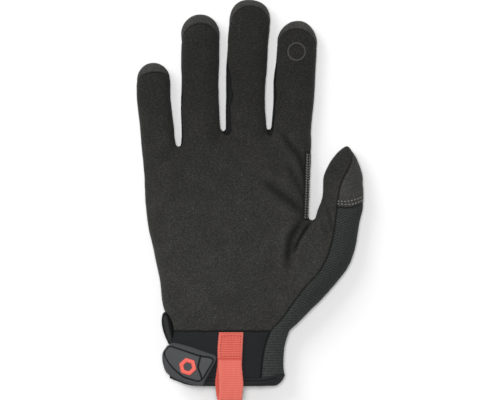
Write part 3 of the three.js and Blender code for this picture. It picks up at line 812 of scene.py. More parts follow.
@dataclass(frozen=True)
class Finger:
    """A finger's tube of cloth. Rows hold along, width, shift and height, as shares of its own sizes."""

    name: str
    length: float
    width: float
    root: tuple[float, float]
    lean: float
    tip_length: float
    tip_power: float
    tall: float
    cap_end: float
    cap_side: float
    rows: Rows
    full_height: float = 15.0
    # How blunt the tip is in height, and the least rise and drop that it keeps.
    blunt: float = 2.6
    thinnest: float = 0.2

    def column(self, number: int, along: np.ndarray) -> np.ndarray:
        """Reads one column of the rows at shares of the length."""
        table = np.array(self.rows)
        return smooth_curve(table[:, 0], table[:, number], along)

    def shift(self, along: np.ndarray) -> np.ndarray:
        """Gives the centre line's distance to the right of the straight line from root to tip."""
        return self.column(2, along) * self.width

    def heights(self, along: np.ndarray) -> tuple[np.ndarray, np.ndarray, np.ndarray]:
        """Gives the middle height, the rise above it and the drop below it.

        Args:
            along: Shares of the length.

        Returns:
            The three heights at each share.
        """
        height = self.full_height * self.tall
        share = self.column(3, along)
        return np.full(len(along), FINGER_MIDDLE * height), 0.58 * share * height, 0.45 * share * height

    def axes(self) -> tuple[list[float], list[float]]:
        """Gives the directions in plan along the finger and to its right."""
        lean = math.radians(self.lean)
        return [math.sin(lean), math.cos(lean)], [math.cos(lean), -math.sin(lean)]

    def place(self, along: np.ndarray, right: np.ndarray) -> np.ndarray:
        """Gives places in plan at shares of the length and distances to the right of the straight line."""
        ahead, side = self.axes()
        return np.array(self.root) + np.outer(along * self.length, ahead) + np.outer(right, side)

    def measure(self, points: np.ndarray) -> tuple[np.ndarray, np.ndarray]:
        """Gives each point's distance along the finger from its root, and to the right of its line.

        Args:
            points: Points, of which x and y are used.

        Returns:
            The distances along and to the right.
        """
        ahead, side = self.axes()
        rel = points[:, :2] - np.array(self.root)
        return rel @ ahead, rel @ side

    def tube(self, sides: int) -> tuple[np.ndarray, list[tuple[int, ...]]]:
        """Lofts the finger's closed tube.

        Args:
            sides: Number of points round a section.

        Returns:
            The points and faces.
        """
        tip = self.tip_length * self.width / self.length
        turn = np.radians(np.linspace(0, 88, 16))
        along = np.concatenate([np.arange(0, 1 - tip, 2.0 / self.length), 1 - tip + tip * np.sin(turn)])
        last = self.rows[-1][0]
        off = self.shift(along) * np.clip((1 - along) / (1 - last), 0, 1)
        centre = self.place(along, off)
        heading = np.unwrap(np.arctan2(*np.gradient(centre, along, axis=0).T))
        even = np.linspace(0, along[-1], 90)
        padded = np.pad(np.interp(even, along, heading), 7, mode="edge")
        heading = np.interp(along, even, np.convolve(padded, np.full(15, 1 / 15), mode="valid"))
        into = np.clip((along - 1 + tip) / tip, 0, 1)
        half = self.column(1, along) * self.width / 2 * (1 - into**self.tip_power) ** (1 / self.tip_power)
        middle, top, under = self.heights(along)
        flatter = (1 - into**self.blunt) ** (1 / self.blunt)
        out, up = squared_turn(circle(sides, 0.5))
        across = np.stack([np.cos(heading), -np.sin(heading)], axis=1)
        plan = centre[:, None, :] + across[:, None, :] * (half[:, None] * out)[:, :, None]
        above, below = (np.maximum(part * flatter, self.thinnest)[:, None] for part in (top, under))
        height = middle[:, None] + np.where(up > 0, above, below) * up
        points = np.concatenate([plan, height[:, :, None]], axis=2).reshape(-1, 3)
        return points, swept_faces(len(along), sides)


@dataclass(frozen=True)
class Thumb(Finger):
    """The thumb, which bends sideways. Its rows hold along, width, bend, middle, top and under."""

    full_height: float = 19.0

    def shift(self, along: np.ndarray) -> np.ndarray:
        """Gives the bend of the centre line away from the straight line."""
        return self.column(2, along) * self.length

    def heights(self, along: np.ndarray) -> tuple[np.ndarray, np.ndarray, np.ndarray]:
        """Gives the middle height, the rise above it and the drop below it."""
        return tuple(self.column(k, along) * self.full_height for k in (3, 4, 5))


PALM = Palm()


def on_palm(*pairs: tuple[float, float]) -> np.ndarray:
    """Turns shares of the palm's width and length into places in plan."""
    return np.array(pairs) * [PALM.width, PALM.length]


FINGERS = (
    Finger(
        "little", 69.6, 20.8, tuple(on_palm((-0.396, 0.911))[0]), -4.25, 0.615, 2.1, 0.93, 0.28, 0.51,
        ((0, 0.95, 0.02, 0.85), (0.2, 1.01, 0, 1.08), (0.45, 1.02, -0.015, 1.04), (0.7, 1.01, -0.05, 1)),
    ),
    Finger(
        "ring", 90.1, 24.0, tuple(on_palm((-0.154, 0.976))[0]), -0.4, 0.54, 2.1, 0.98, 0.24, 0.7,
        (
            (0, 1.12, 0.02, 0.9), (0.23, 1.04, -0.01, 1.12), (0.36, 1.04, -0.03, 1.06),
            (0.52, 0.98, -0.02, 1.03), (0.74, 0.99, -0.01, 1),
        ),
    ),
    Finger(
        "middle", 96.1, 25.0, tuple(on_palm((0.102, 0.998))[0]), 2.8, 0.55, 2.3, 1.0, 0.16, 0.625,
        (
            (0, 1.02, 0.05, 0.9), (0.19, 1.04, 0.02, 1.12), (0.3, 1.01, -0.017, 1.08),
            (0.42, 1, -0.037, 1.05), (0.6, 1.01, -0.033, 1.02), (0.76, 1, -0.03, 1),
        ),
    ),
    Finger(
        "index", 89.5, 25.0, tuple(on_palm((0.367, 0.955))[0]), 4.18, 0.585, 2.0, 0.98, 0.21, 0.64,
        (
            (0, 1.04, 0, 0.9), (0.25, 1, 0, 1.1), (0.42, 1, 0.01, 1.06), (0.57, 1.03, 0, 1.04),
            (0.7, 0.99, 0.01, 1),
        ),
    ),
)
THUMB = Thumb(
    "thumb", 123.3, 25.4, tuple(on_palm((0.271, 0.242))[0]), 22.2, 0.777, 1.4, 1.0, 0.0, 0.0,
    (
        (0, 0.64, -0.018, 0.68, 0.5, 0.4), (0.07, 0.79, 0.008, 0.68, 0.6, 0.52),
        (0.19, 0.93, 0.044, 0.66, 0.7, 0.62), (0.34, 1.13, 0.083, 0.6, 0.74, 0.66),
        (0.46, 1.24, 0.105, 0.55, 0.68, 0.62), (0.55, 1.155, 0.107, 0.52, 0.62, 0.57),
        (0.65, 1.05, 0.094, 0.5, 0.58, 0.54), (0.75, 1, 0.08, 0.46, 0.54, 0.5),
        (0.83, 0.94, 0.045, 0.44, 0.52, 0.48),
    ),
)

THUMB_SEAM = on_palm(
    (0.202, -0.2), (0.206, 0.039), (0.217, 0.125), (0.228, 0.168), (0.25, 0.22), (0.268, 0.246),
    (0.325, 0.289), (0.389, 0.354), (0.482, 0.441), (0.545, 0.488), (0.596, 0.551), (0.625, 0.609),
    (0.643, 0.674), (0.666, 0.803), (0.677, 0.855), (0.704, 0.903), (0.735, 0.942), (0.75, 0.975),
    (0.745, 1.2),
)
THUMB_BACK_SEAM = on_palm(
    (0.25, -0.2), (0.27, 0.1), (0.33, 0.3), (0.41, 0.5), (0.47, 0.66), (0.505, 0.74), (0.535, 0.8),
    (0.59, 1.2),
)
THUMB_CAP_SEAM = np.array(
    [(55, 111.8), (68.9, 111.2), (73.5, 110.8), (77.6, 111.1), (82.5, 112.9), (92, 117.5)]
)
SIDE_SEAM_ALONG = np.array([-0.5, 0.2, 0.34, 0.6, 1, 2.5]) * PALM.length
SIDE_SEAM_HEIGHT = np.array([0.5, 0.48, 0.38, 0.22, 0.11, 0.11]) * PALM.height
WEB_LINE = on_palm((0.492, 0.717), (0.501, 0.88), (0.506, 1.008))
WEB_WIDTH = 3.4
SUEDE_END = 34.8
HEM_TOP = 5.6
SLIT_LENGTH = 30.0
SLIT_HEIGHT = 3.0
# The opening that the roll fills: its middle, half its length, half its height, and its rise above the slit.
ROLL_MIDDLE = 36.5
ROLL_REACH = 9.2
ROLL_TALL = 3.4
ROLL_RISE = 1.2

# Little cushions of cloth in the forks of the hand: place and radii.
CUSHIONS = (
    ((52.0, 95.5, 8.6), (6.0, 8.0, 6.2)),
    ((-31.0, 144.3, 7.0), (3.5, 4.6, 5.0)),
    ((26.3, 153.4, 7.0), (3.0, 4.8, 5.0)),
    ((-2.2, 152.6, 7.0), (3.2, 6.0, 5.0)),
)

# Folds in the palm's cloth: line in plan, depth and half width.
CREASES = (
    (((54.0, 103.5), (50.1, 99.4), (46.5, 93.8), (44.1, 89.4), (42.0, 83.7)), 2.0, 1.3),
    (((49.0, 106.6), (44.6, 99.6), (40.1, 92.6), (38.3, 84.4), (37.7, 75.0)), 1.3, 2.4),
    (((60.8, 113.0), (63.3, 104.5), (65.0, 97.0)), 0.6, 1.3),
    (((58.6, 102.5), (62.1, 93.5)), 0.45, 1.6),
    (((31.0, 160.5), (35.5, 154.5), (38.4, 150.0), (44.9, 142.1), (47.7, 133.6), (49.0, 124)), 0.9, 1.9),
    (((19.2, 129.3), (29.8, 121.9), (39.1, 114.4), (48.2, 107.0)), 0.9, 2.8),
    (((36.0, 140.5), (45.3, 121.9), (48.9, 113.0)), 0.55, 2.0),
)


@dataclass
class Sheet:
    """A sheet of triangles with numbers at its points, which is cut where one of them changes sign."""

    points: np.ndarray
    triangles: np.ndarray
    values: np.ndarray

    def only(self, triangles: np.ndarray) -> "Sheet":
        """Keeps some triangles and the points that they use.

        Args:
            triangles: Corner numbers of the triangles to keep.

        Returns:
            The smaller sheet.
        """
        used = np.unique(triangles)
        number = np.zeros(len(self.points), int)
        number[used] = np.arange(len(used))
        return Sheet(self.points[used], number[triangles], self.values[used])

    def cut(self, column: int) -> tuple["Sheet", "Sheet"]:
        """Cuts the sheet along the line where a column is zero.

        Args:
            column: Number of the column of values.

        Returns:
            The part where the column is positive, and the rest.
        """
        value = self.values[:, column]
        corner = value[self.triangles] > 0
        count = corner.sum(axis=1)
        mixed = (count == 1) | (count == 2)
        odd_inside = count[mixed] == 1
        first = np.argmax(corner[mixed] == odd_inside[:, None], axis=1)
        turned = (first[:, None] + np.arange(3)) % 3
        tri = np.take_along_axis(self.triangles[mixed], turned, axis=1)
        pairs = np.sort(np.concatenate([tri[:, [0, 1]], tri[:, [0, 2]]]), axis=1)
        edges, where = np.unique(pairs, axis=0, return_inverse=True)
        a, b = value[edges[:, 0]], value[edges[:, 1]]
        # The share stays off the ends, so that no sliver is left at the cut.
        share = np.clip(a / (a - b), 0.15, 0.85)[:, None]
        points, values = (
            np.vstack([rows, rows[edges[:, 0]] * (1 - share) + rows[edges[:, 1]] * share])
            for rows in (self.points, self.values)
        )
        whole = Sheet(points, self.triangles, values)
        new = len(self.points) + where.reshape(-1)
        one, two = new[: len(tri)], new[len(tri) :]
        tips = np.stack([tri[:, 0], one, two], axis=1)
        stumps = np.stack([one, tri[:, 1], tri[:, 2], one, tri[:, 2], two], axis=1)
        inside = [self.triangles[count == 3], tips[odd_inside], stumps[~odd_inside].reshape(-1, 3)]
        outside = [self.triangles[count == 0], tips[~odd_inside], stumps[odd_inside].reshape(-1, 3)]
        return whole.only(np.concatenate(inside)), whole.only(np.concatenate(outside))

    def from_edge(self) -> np.ndarray:
        """Measures how far each point lies from the sheet's own edge, up to a limit.

        Returns:
            The distance at each point.
        """
        edges, count = edges_of(self.triangles)
        rim = np.unique(edges[count == 1])
        tree = KDTree(len(rim))
        for i, spot in enumerate(self.points[rim].tolist()):
            tree.insert(spot, i)
        tree.balance()
        return np.array([min(tree.find(p)[2], EDGE_REACH) for p in self.points.tolist()])


@dataclass
class HandSkin:
    """The whole glove's cloth as one fused skin, with its folds, before it is cut along its seams."""

    voxel: float = 0.8
    calm_rounds: int = 5
    top_calm_rounds: int = 36
    # The window's width on the palm side of a fingertip, and how far the cap reaches back below it.
    window_share: float = 0.93
    cap_back: float = 5.5
    # Where the fingers' caps can begin, and the value of a field that is surely outside.
    caps_from: float = 150.0
    outside: float = -5.0
    far_outside: float = -9.0
    points: np.ndarray = field(init=False)
    triangles: np.ndarray = field(init=False)
    normals: np.ndarray = field(init=False)
    valleys: np.ndarray = field(init=False)

    def build(self) -> None:
        """Lofts the tubes, fuses them, calms the joins and presses in the folds."""
        self.fuse()
        self.calm()
        self.fold()
        self.normals = unit_normals(self.points, self.triangles)

    def fuse(self) -> None:
        """Joins the palm, the fingers and the thumb into one skin."""
        parts = [finger.tube(48) for finger in (*FINGERS, THUMB)]
        along = np.concatenate([np.arange(-4, 150, 2.0), [150.4]])
        angle = circle(128, 0.5)
        palm = PALM.point(np.repeat(along, len(angle)), np.tile(angle, len(along)))
        parts.append((palm, swept_faces(len(along), len(angle))))
        tilt, turn = np.meshgrid(np.linspace(-1.5, 1.5, 13), angle[::4], indexing="ij")
        ball = np.stack([np.cos(tilt) * np.cos(turn), np.cos(tilt) * np.sin(turn), np.sin(tilt)], axis=2)
        for place, radii in CUSHIONS:
            parts.append((ball.reshape(-1, 3) * radii + place, swept_faces(*tilt.shape)))
        points, faces, start = [], [], 0
        for part, polygons in parts:
            points.append(part)
            faces += [tuple(i + start for i in f)[::-1] for f in polygons]
            start += len(part)
        block = mesh_object("hand_block", np.concatenate(points), faces)
        remesh = block.modifiers.new("fuse", "REMESH")
        remesh.mode = "VOXEL"
        remesh.voxel_size = self.voxel * MM
        bake_modifiers(block)
        mesh = block.data
        mesh.calc_loop_triangles()
        spots = np.empty(len(mesh.vertices) * 3)
        mesh.vertices.foreach_get("co", spots)
        corners = np.empty(len(mesh.loop_triangles) * 3, int)
        mesh.loop_triangles.foreach_get("vertices", corners)
        self.points = spots.reshape(-1, 3) / MM - HEM_IN_FRAME
        self.triangles = corners.reshape(-1, 3)
        bpy.data.objects.remove(block)
        bpy.data.meshes.remove(mesh)

    def relax(self, amount: np.ndarray, rounds: int) -> None:
        """Moves each point towards its neighbours' middle.

        Args:
            amount: Share of the way for each point in each round.
            rounds: Number of rounds.
        """
        edges, _ = edges_of(self.triangles)
        a, b = edges.T
        size = len(self.points)
        valence = np.bincount(a, minlength=size) + np.bincount(b, minlength=size)
        for _ in range(rounds):
            for axis in range(3):
                x = self.points[:, axis]
                total = sum(np.bincount(p, weights=x[q], minlength=size) for p, q in ((a, b), (b, a)))
                self.points[:, axis] = x + amount * (total / valence - x)

    def calm(self) -> None:
        """Rounds off the joins of the tubes, most of all where the palm's cloth spans them."""
        y, z = self.points[:, 1], self.points[:, 2]
        up = unit_normals(self.points, self.triangles)[:, 2]
        self.points[:, 2] = np.maximum(z, CLEARANCE)
        self.relax(np.full(len(y), 0.5), self.calm_rounds)
        above = step_between(0.1, 0.5, up)
        roots = step_between(118, 132, y) * (1 - step_between(150, 164, y))
        thumb = step_between(20, 40, y) * (1 - step_between(96, 112, y))
        thumb = thumb * step_between(8, 22, self.points[:, 0])
        self.relax(0.5 * above * np.maximum(roots, thumb), self.top_calm_rounds)
        self.points[:, 2] = np.maximum(self.points[:, 2], CLEARANCE)

    def fold(self) -> None:
        """Presses the palm's folds in, notes painted shade for their valleys and painted light for their
        banks, and gives all the cloth its soft unevenness.
        """
        normals = unit_normals(self.points, self.triangles)
        above = step_between(0.15, 0.5, normals[:, 2])
        shift = np.zeros(len(self.points))
        self.valleys = np.zeros(len(self.points))
        for corners, depth, width in CREASES:
            far, along = polyline_distance(self.points, rounded_line(corners, 1.5))
            along = along / float(along.max())
            ends = step_between(0, 0.3, along) * (1 - 0.6 * step_between(0.8, 1.0, along)) * 0.85 + 0.15
            valley = np.exp(-((far / width) ** 2))
            banks = np.exp(-(((np.abs(far) - 2.1 * width) / (1.1 * width)) ** 2))
            shift += above * ends * depth * (0.4 * banks - valley)
            # Painted shade for the colour in each fold's valley, and painted light on its banks.
            fold_shade = above * ends * (valley - 0.3 * banks) * min(1.0, depth / 1.2)
            self.valleys = np.where(np.abs(fold_shade) > np.abs(self.valleys), fold_shade, self.valleys)
        lumps = 0.28 * fuzz(self.points, 16.0) + 0.07 * fuzz(self.points, 4.5)
        shift += lumps * (0.3 + 0.7 * step_between(6, 40, self.points[:, 1]))
        between = np.min([np.abs(self.from_gap(i)) for i in range(3)], axis=0)
        crotch = step_between(148, 156, self.points[:, 1]) * (1 - step_between(180, 200, self.points[:, 1]))
        shift -= 0.5 * crotch * (1 - step_between(2.0, 6.0, between)) * (1 - above)
        self.points += normals * shift[:, None]
        self.points[:, 2] = np.maximum(self.points[:, 2], CLEARANCE)

    def from_gap(self, number: int) -> np.ndarray:
        """Gives how far points lie to the right of the middle of the gap after a finger.

        Args:
            number: Number of the finger, from 0 at the little one.

        Returns:
            The distance at each point.
        """
        _, one = FINGERS[number].measure(self.points)
        _, two = FINGERS[number + 1].measure(self.points)
        return (one + two) / 2

    def cap_field(self, number: int) -> np.ndarray:
        """Gives how far points lie inside a fingertip's cap, which leaves a window on the palm side.

        Args:
            number: Number of the finger, from 0 at the little one.

        Returns:
            The distance inside the cap at each point.
        """
        finger = FINGERS[number]
        along, right = finger.measure(self.points)
        z = self.points[:, 2]
        side = finger.length - finger.cap_side * finger.width
        reach = (finger.cap_side - finger.cap_end) * finger.width
        half = self.window_share * finger.width / 2
        ahead = np.maximum(along - side, 0)
        q = np.hypot(right / half, ahead / reach)
        slope = np.hypot(right / half**2, ahead / reach**2) / np.maximum(q, 1e-6)
        window = np.where(along > side, (1 - q) / np.maximum(slope, 1e-3), half - np.abs(right))
        window = np.minimum(window, z - (FINGER_MIDDLE * finger.full_height * finger.tall + 1))
        below = self.side_seam() - z
        cap = np.maximum(np.minimum(along - side, -window), np.minimum(along - side + self.cap_back, below))
        nearest = np.argmin([np.abs(other.measure(self.points)[1]) for other in FINGERS], axis=0)
        return np.where((nearest == number) & (self.points[:, 1] > self.caps_from), cap, self.outside)

    def side_seam(self) -> np.ndarray:
        """Gives the height of the side seam at each point."""
        return smooth_curve(SIDE_SEAM_ALONG, SIDE_SEAM_HEIGHT, self.points[:, 1])

    def thumb_field(self) -> np.ndarray:
        """Gives how far points lie on the thumb's side of its seams.

        Returns:
            The distance at each point, positive on the thumb's side.
        """
        below = self.side_seam() - self.points[:, 2]
        front, _ = polyline_distance(self.points, rounded_line(THUMB_SEAM, 3.0))
        back, _ = polyline_distance(self.points, THUMB_BACK_SEAM)
        return np.maximum(np.minimum(front, 0.5 - below), np.minimum(back, 0.5 + below))

    def strip_field(self, number: int, start: float, left: float, right: float) -> np.ndarray:
        """Gives how far points lie inside the strip between two fingers.

        Args:
            number: Number of the finger on the strip's left.
            start: Distance of the crotch from the hem.
            left: Height that the strip climbs to on its left.
            right: Height that it climbs to on its right.

        Returns:
            The distance inside the strip.
        """
        _, one = FINGERS[number].measure(self.points)
        _, two = FINGERS[number + 1].measure(self.points)
        y, z = self.points[:, 1], self.points[:, 2]
        climb = 1 - step_between(start + 32, start + 54, y)
        wavy = 0.35 * np.sin(y / 3.1) + 0.25 * np.sin(y / 1.9 + 1.0)
        gap = self.from_gap(number)
        foot = y - start - 0.12 * gap**2
        round_foot = y - start - 0.28 * (gap - 2.2) ** 2
        low = np.minimum.reduce([one, -two, foot, left + wavy - z])
        high = np.minimum.reduce([one + two, -two, round_foot, left + (right - left) * climb + wavy - z])
        return np.maximum(low, high)

    def panels(self) -> dict[str, Sheet]:
        """Cuts the skin along its seams.

        Returns:
            The sheet of each panel by its node's name.
        """
        x, y, z = self.points.T
        thumb = self.thumb_field()
        cap_line, _ = polyline_distance(self.points, THUMB_CAP_SEAM)
        web, _ = polyline_distance(self.points, WEB_LINE)
        middle = PALM.height / 2
        slit = np.minimum.reduce(
            [-0.25 * PALM.width - x, SLIT_LENGTH - y, SLIT_HEIGHT / 2 - np.abs(z - middle)]
        )
        roll = 1 - np.hypot((y - ROLL_MIDDLE) / ROLL_REACH, (z - middle - ROLL_RISE) / ROLL_TALL)
        roll = np.where(x < -25, roll * ROLL_TALL, self.far_outside)
        fields = {
            "open_wrist": HEM_TOP - 0.5 - y,
            "open_slit": np.maximum(slit, roll),
            **{f"tip_cap_{f.name}": self.cap_field(i) for i, f in enumerate(FINGERS)},
            "thumb_cap": np.minimum(thumb, -cap_line),
            "thumb_knit_panel": thumb,
            "back_panel": self.side_seam() - z,
            "fourchette_little_ring": self.strip_field(0, 0.99 * PALM.length, 7.0, 10.5),
            "fourchette_ring_middle": self.strip_field(1, 1.085 * PALM.length, 7.0, 13.2),
            "fourchette_middle_index": self.strip_field(2, 1.08 * PALM.length, 7.0, 11.2),
            "web_gusset": np.minimum.reduce([
                web + WEB_WIDTH, y - WEB_LINE[0, 1], WEB_LINE[2, 1] - y,
                0.53 * PALM.width + 0.07 * (y - 103) - x,
            ]),
            "wrist_panel": SUEDE_END + 0.12 * np.sin(x / 1.7) - y,
        }
        values = np.column_stack([self.normals, self.valleys, *fields.values()])
        rest = Sheet(self.points, self.triangles, values)
        sheets: dict[str, Sheet] = {}
        for number, name in enumerate(fields):
            piece, rest = rest.cut(4 + number)
            if not name.startswith("open"):
                sheets[name] = piece
        sheets["palm_panel"] = rest
        return sheets


@dataclass(frozen=True)
class PanelStyle:
    """How a panel is dressed: its finish, its slot, its cloth and how far it swells between its seams."""

    finish: Finish
    slot: Slot
    thickness: float = 1.2
    groove: float = 0.42
    puff: float = 0.25


CAP_STYLE = PanelStyle(CAP_SUEDE, Slot.CAP_SUEDE, groove=0.4, puff=0.15)
STRIP_STYLE = PanelStyle(GUSSET_CLOTH, Slot.STRETCH, puff=0.1)
PANEL_STYLES = {
    "palm_panel": PanelStyle(PALM_SUEDE, Slot.SUEDE),
    **{f"tip_cap_{finger.name}": CAP_STYLE for finger in FINGERS},
    "thumb_cap": PanelStyle(CAP_SUEDE, Slot.CAP_SUEDE),
    "thumb_knit_panel": PanelStyle(BACK_KNIT, Slot.KNIT),
    "back_panel": PanelStyle(BACK_KNIT, Slot.KNIT),
    "web_gusset": PanelStyle(BACK_KNIT, Slot.KNIT, puff=0.1),
    "fourchette_little_ring": STRIP_STYLE,
    "fourchette_ring_middle": STRIP_STYLE,
    "fourchette_middle_index": STRIP_STYLE,
    "wrist_panel": PanelStyle(WRIST_FOAM, Slot.NEOPRENE, thickness=1.4, puff=0.15),
}


class Wardrobe:
    """Builds each finish once and puts it on the pieces that use it."""

    def __init__(self) -> None:
        """Starts with no finish built."""
        self.built: dict[str, bpy.types.Material] = {}

    def material(self, finish: Finish) -> bpy.types.Material:
        """Gives a finish's material, built at its first use.

        Args:
            finish: The finish.

        Returns:
            Its material.
        """
        if finish.name not in self.built:
            self.built[finish.name] = finish.build()
        return self.built[finish.name]

    def dress(self, piece: bpy.types.Object, finish: Finish, slot: Slot, *nodes: str) -> None:
        """Gives a piece its finish, hangs it on the root, and hides the nodes of the frame that it stands
        for.

        Args:
            piece: The finished piece.
            finish: Its finish.
            slot: Its material slot in the record; not used.
            *nodes: Nodes of the frame that it stands for.
        """
        if not piece.data.materials:
            piece.data.materials.append(self.material(finish))
        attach(piece, "root")
        if nodes:
            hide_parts(*nodes)
        LOG.info("%s: %d faces, %s", piece.name, len(piece.data.polygons), finish.name)


@dataclass
class SewnPanels:
    """The cloth panels of the glove, sewn edge to edge."""

    skin: HandSkin
    wardrobe: Wardrobe
    groove_width: float = 0.75
    puff_width: float = 3.5
    surface: BVHTree | None = None

    def build(self) -> None:
        """Cuts the skin, turns each panel in at its seams, gives it thickness and dresses it."""
        all_points, all_faces, start = [], [], 0
        for name, sheet in self.skin.panels().items():
            style = PANEL_STYLES[name]
            far = sheet.from_edge()
            # Seams that run round the side are pressed in less, so they don't notch the outline.
            level = 0.4 + 0.6 * step_between(0.1, 0.6, np.abs(sheet.values[:, 2]))
            groove = style.groove * level * np.exp(-((far / self.groove_width) ** 2))
            out = style.puff * (1 - np.exp(-((far / self.puff_width) ** 2))) - groove
            points = sheet.points + sheet.values[:, :3] * out[:, None]
            points[:, 2] = np.maximum(points[:, 2], 0.0)
            piece = mesh_object(f"{name}_cloth", points, sheet.triangles)
            # The distance from the seam, which the finish reads for its painted seam shade.
            mark(piece, "from_seam", far)
            # The painted shade and light of the folds, for the suede to read.
            mark(piece, "in_fold", sheet.values[:, 3])
            give_thickness(piece, style.thickness)
            self.wardrobe.dress(piece, style.finish, style.slot, name)
            all_points.append(points)
            all_faces.append(sheet.triangles + start)
            start += len(points)
        lists = (np.concatenate(part).tolist() for part in (all_points, all_faces))
        self.surface = BVHTree.FromPolygons(*lists)

    def drop(self, plan: np.ndarray, lift: float = 0.0) -> tuple[np.ndarray, np.ndarray]:
        """Drops places in plan onto the glove's upper face.

        Args:
            plan: Places in plan.
            lift: Height above the face, along its normal.

        Returns:
            The points on the face and its normals there.
        """
        spots, ups = [], []
        for x, y in plan:
            hit, normal, _, _ = self.surface.ray_cast(Vector((x, y, ABOVE_GLOVE)), Vector((0, 0, -1)))
            if hit is None:
                continue
            spots.append(np.array(hit) + np.array(normal) * lift)
            ups.append(np.array(normal))
        return np.array(spots), np.array(ups)


# Small parts.


@dataclass
class CuffHem:
    """The hem at the wrist: foam rolled over and sewn down, with two grooves along it."""

    wardrobe: Wardrobe
    # Rows of the hem's own section: distance from the hem's lower edge, and distance outside the palm.
    section: Pairs = (
        (5.9, -0.9), (5.75, 0.0), (5.3, 0.35), (4.6, 0.45), (4.15, 0.3), (3.8, -0.35), (3.45, 0.3),
        (2.6, 0.65), (1.5, 0.55), (0.6, 0.15), (0.1, -0.5), (0.05, -1.1), (0.5, -1.7), (1.4, -1.9),
        (3.4, -1.9), (5.4, -1.8),
    )
    around: int = 260
    left_rise: float = 2.4
    right_rise: float = 2.6

    def build(self) -> None:
        """Sweeps the section round the wrist, from one edge of the slit to the other."""
        gap = math.asin(((SLIT_HEIGHT / 2 + 0.2) / (0.45 * PALM.height)) ** (TOP_ROUNDNESS / 2))
        turn = np.linspace(math.pi + gap, 3 * math.pi - gap, self.around)
        points = PALM.sweep(turn, rounded_line(self.section, 0.45, True))
        # The lower edge rises towards the slit, and the upper edge towards the thumb's side.
        x, y = points[..., 0], points[..., 1]
        share = np.clip(y / self.section[0][0], 0, 1)
        low_rise = 0.8 + self.left_rise * step_between(18, 36, -x)
        points[..., 1] += low_rise * (1 - share) + self.right_rise * step_between(20, 34, x) * share
        self.wardrobe.dress(swept_object("cuff_hem", points), HEM_TAPE, Slot.NEOPRENE, "cuff_binding")


@dataclass
class SlitBinding:
    """The bound edge of the slit at the wrist, which swells out of the side as a leaf-shaped pillow."""

    wardrobe: Wardrobe
    low: float = 26.5
    high: float = 46.3
    # Rows of share along, left x, right x and half height.
    rows: Rows = (
        (0.0, -36.2, -32.0, 1.4), (0.15, -37.6, -31.6, 2.6), (0.4, -39.5, -32.0, 3.3),
        (0.65, -40.5, -33.0, 3.5), (0.82, -40.4, -34.4, 3.0), (0.94, -39.8, -36.0, 1.9),
        (1.0, -38.9, -37.3, 0.4),
    )

    def build(self) -> None:
        """Lofts the pillow through its rows, and marks its black left edge, its darker top end and the
        painted shadow over its right part.
        """
        table = np.array(self.rows)
        along, angle = np.meshgrid(np.linspace(0, 1, 44), circle(28), indexing="ij")
        left, right, tall = (smooth_curve(table[:, 0], table[:, k], along) for k in (1, 2, 3))
        rib = 1 + 0.05 * np.cos(3 * angle)
        x = (left + right) / 2 + (right - left) / 2 * np.cos(angle) * rib
        z = PALM.height / 2 + ROLL_RISE + tall * np.sin(angle) * rib
        y = self.low + (self.high - self.low) * along
        roll = swept_object("slit_roll", np.stack([x, y, z], axis=2))
        across = np.cos(angle)
        end = step_between(0.82, 0.95, along)
        # Black binding along the left edge, a darker top end, and painted shadow over the right part, where
        # the slit's opening lies in shade.
        dark = np.maximum.reduce([step_between(0.05, 0.3, across), step_between(0.5, 0.68, -across), end])
        mark(roll, "dark_edge", dark)
        self.wardrobe.dress(roll, BINDING_CLOTH, Slot.STRETCH, "slit_binding")


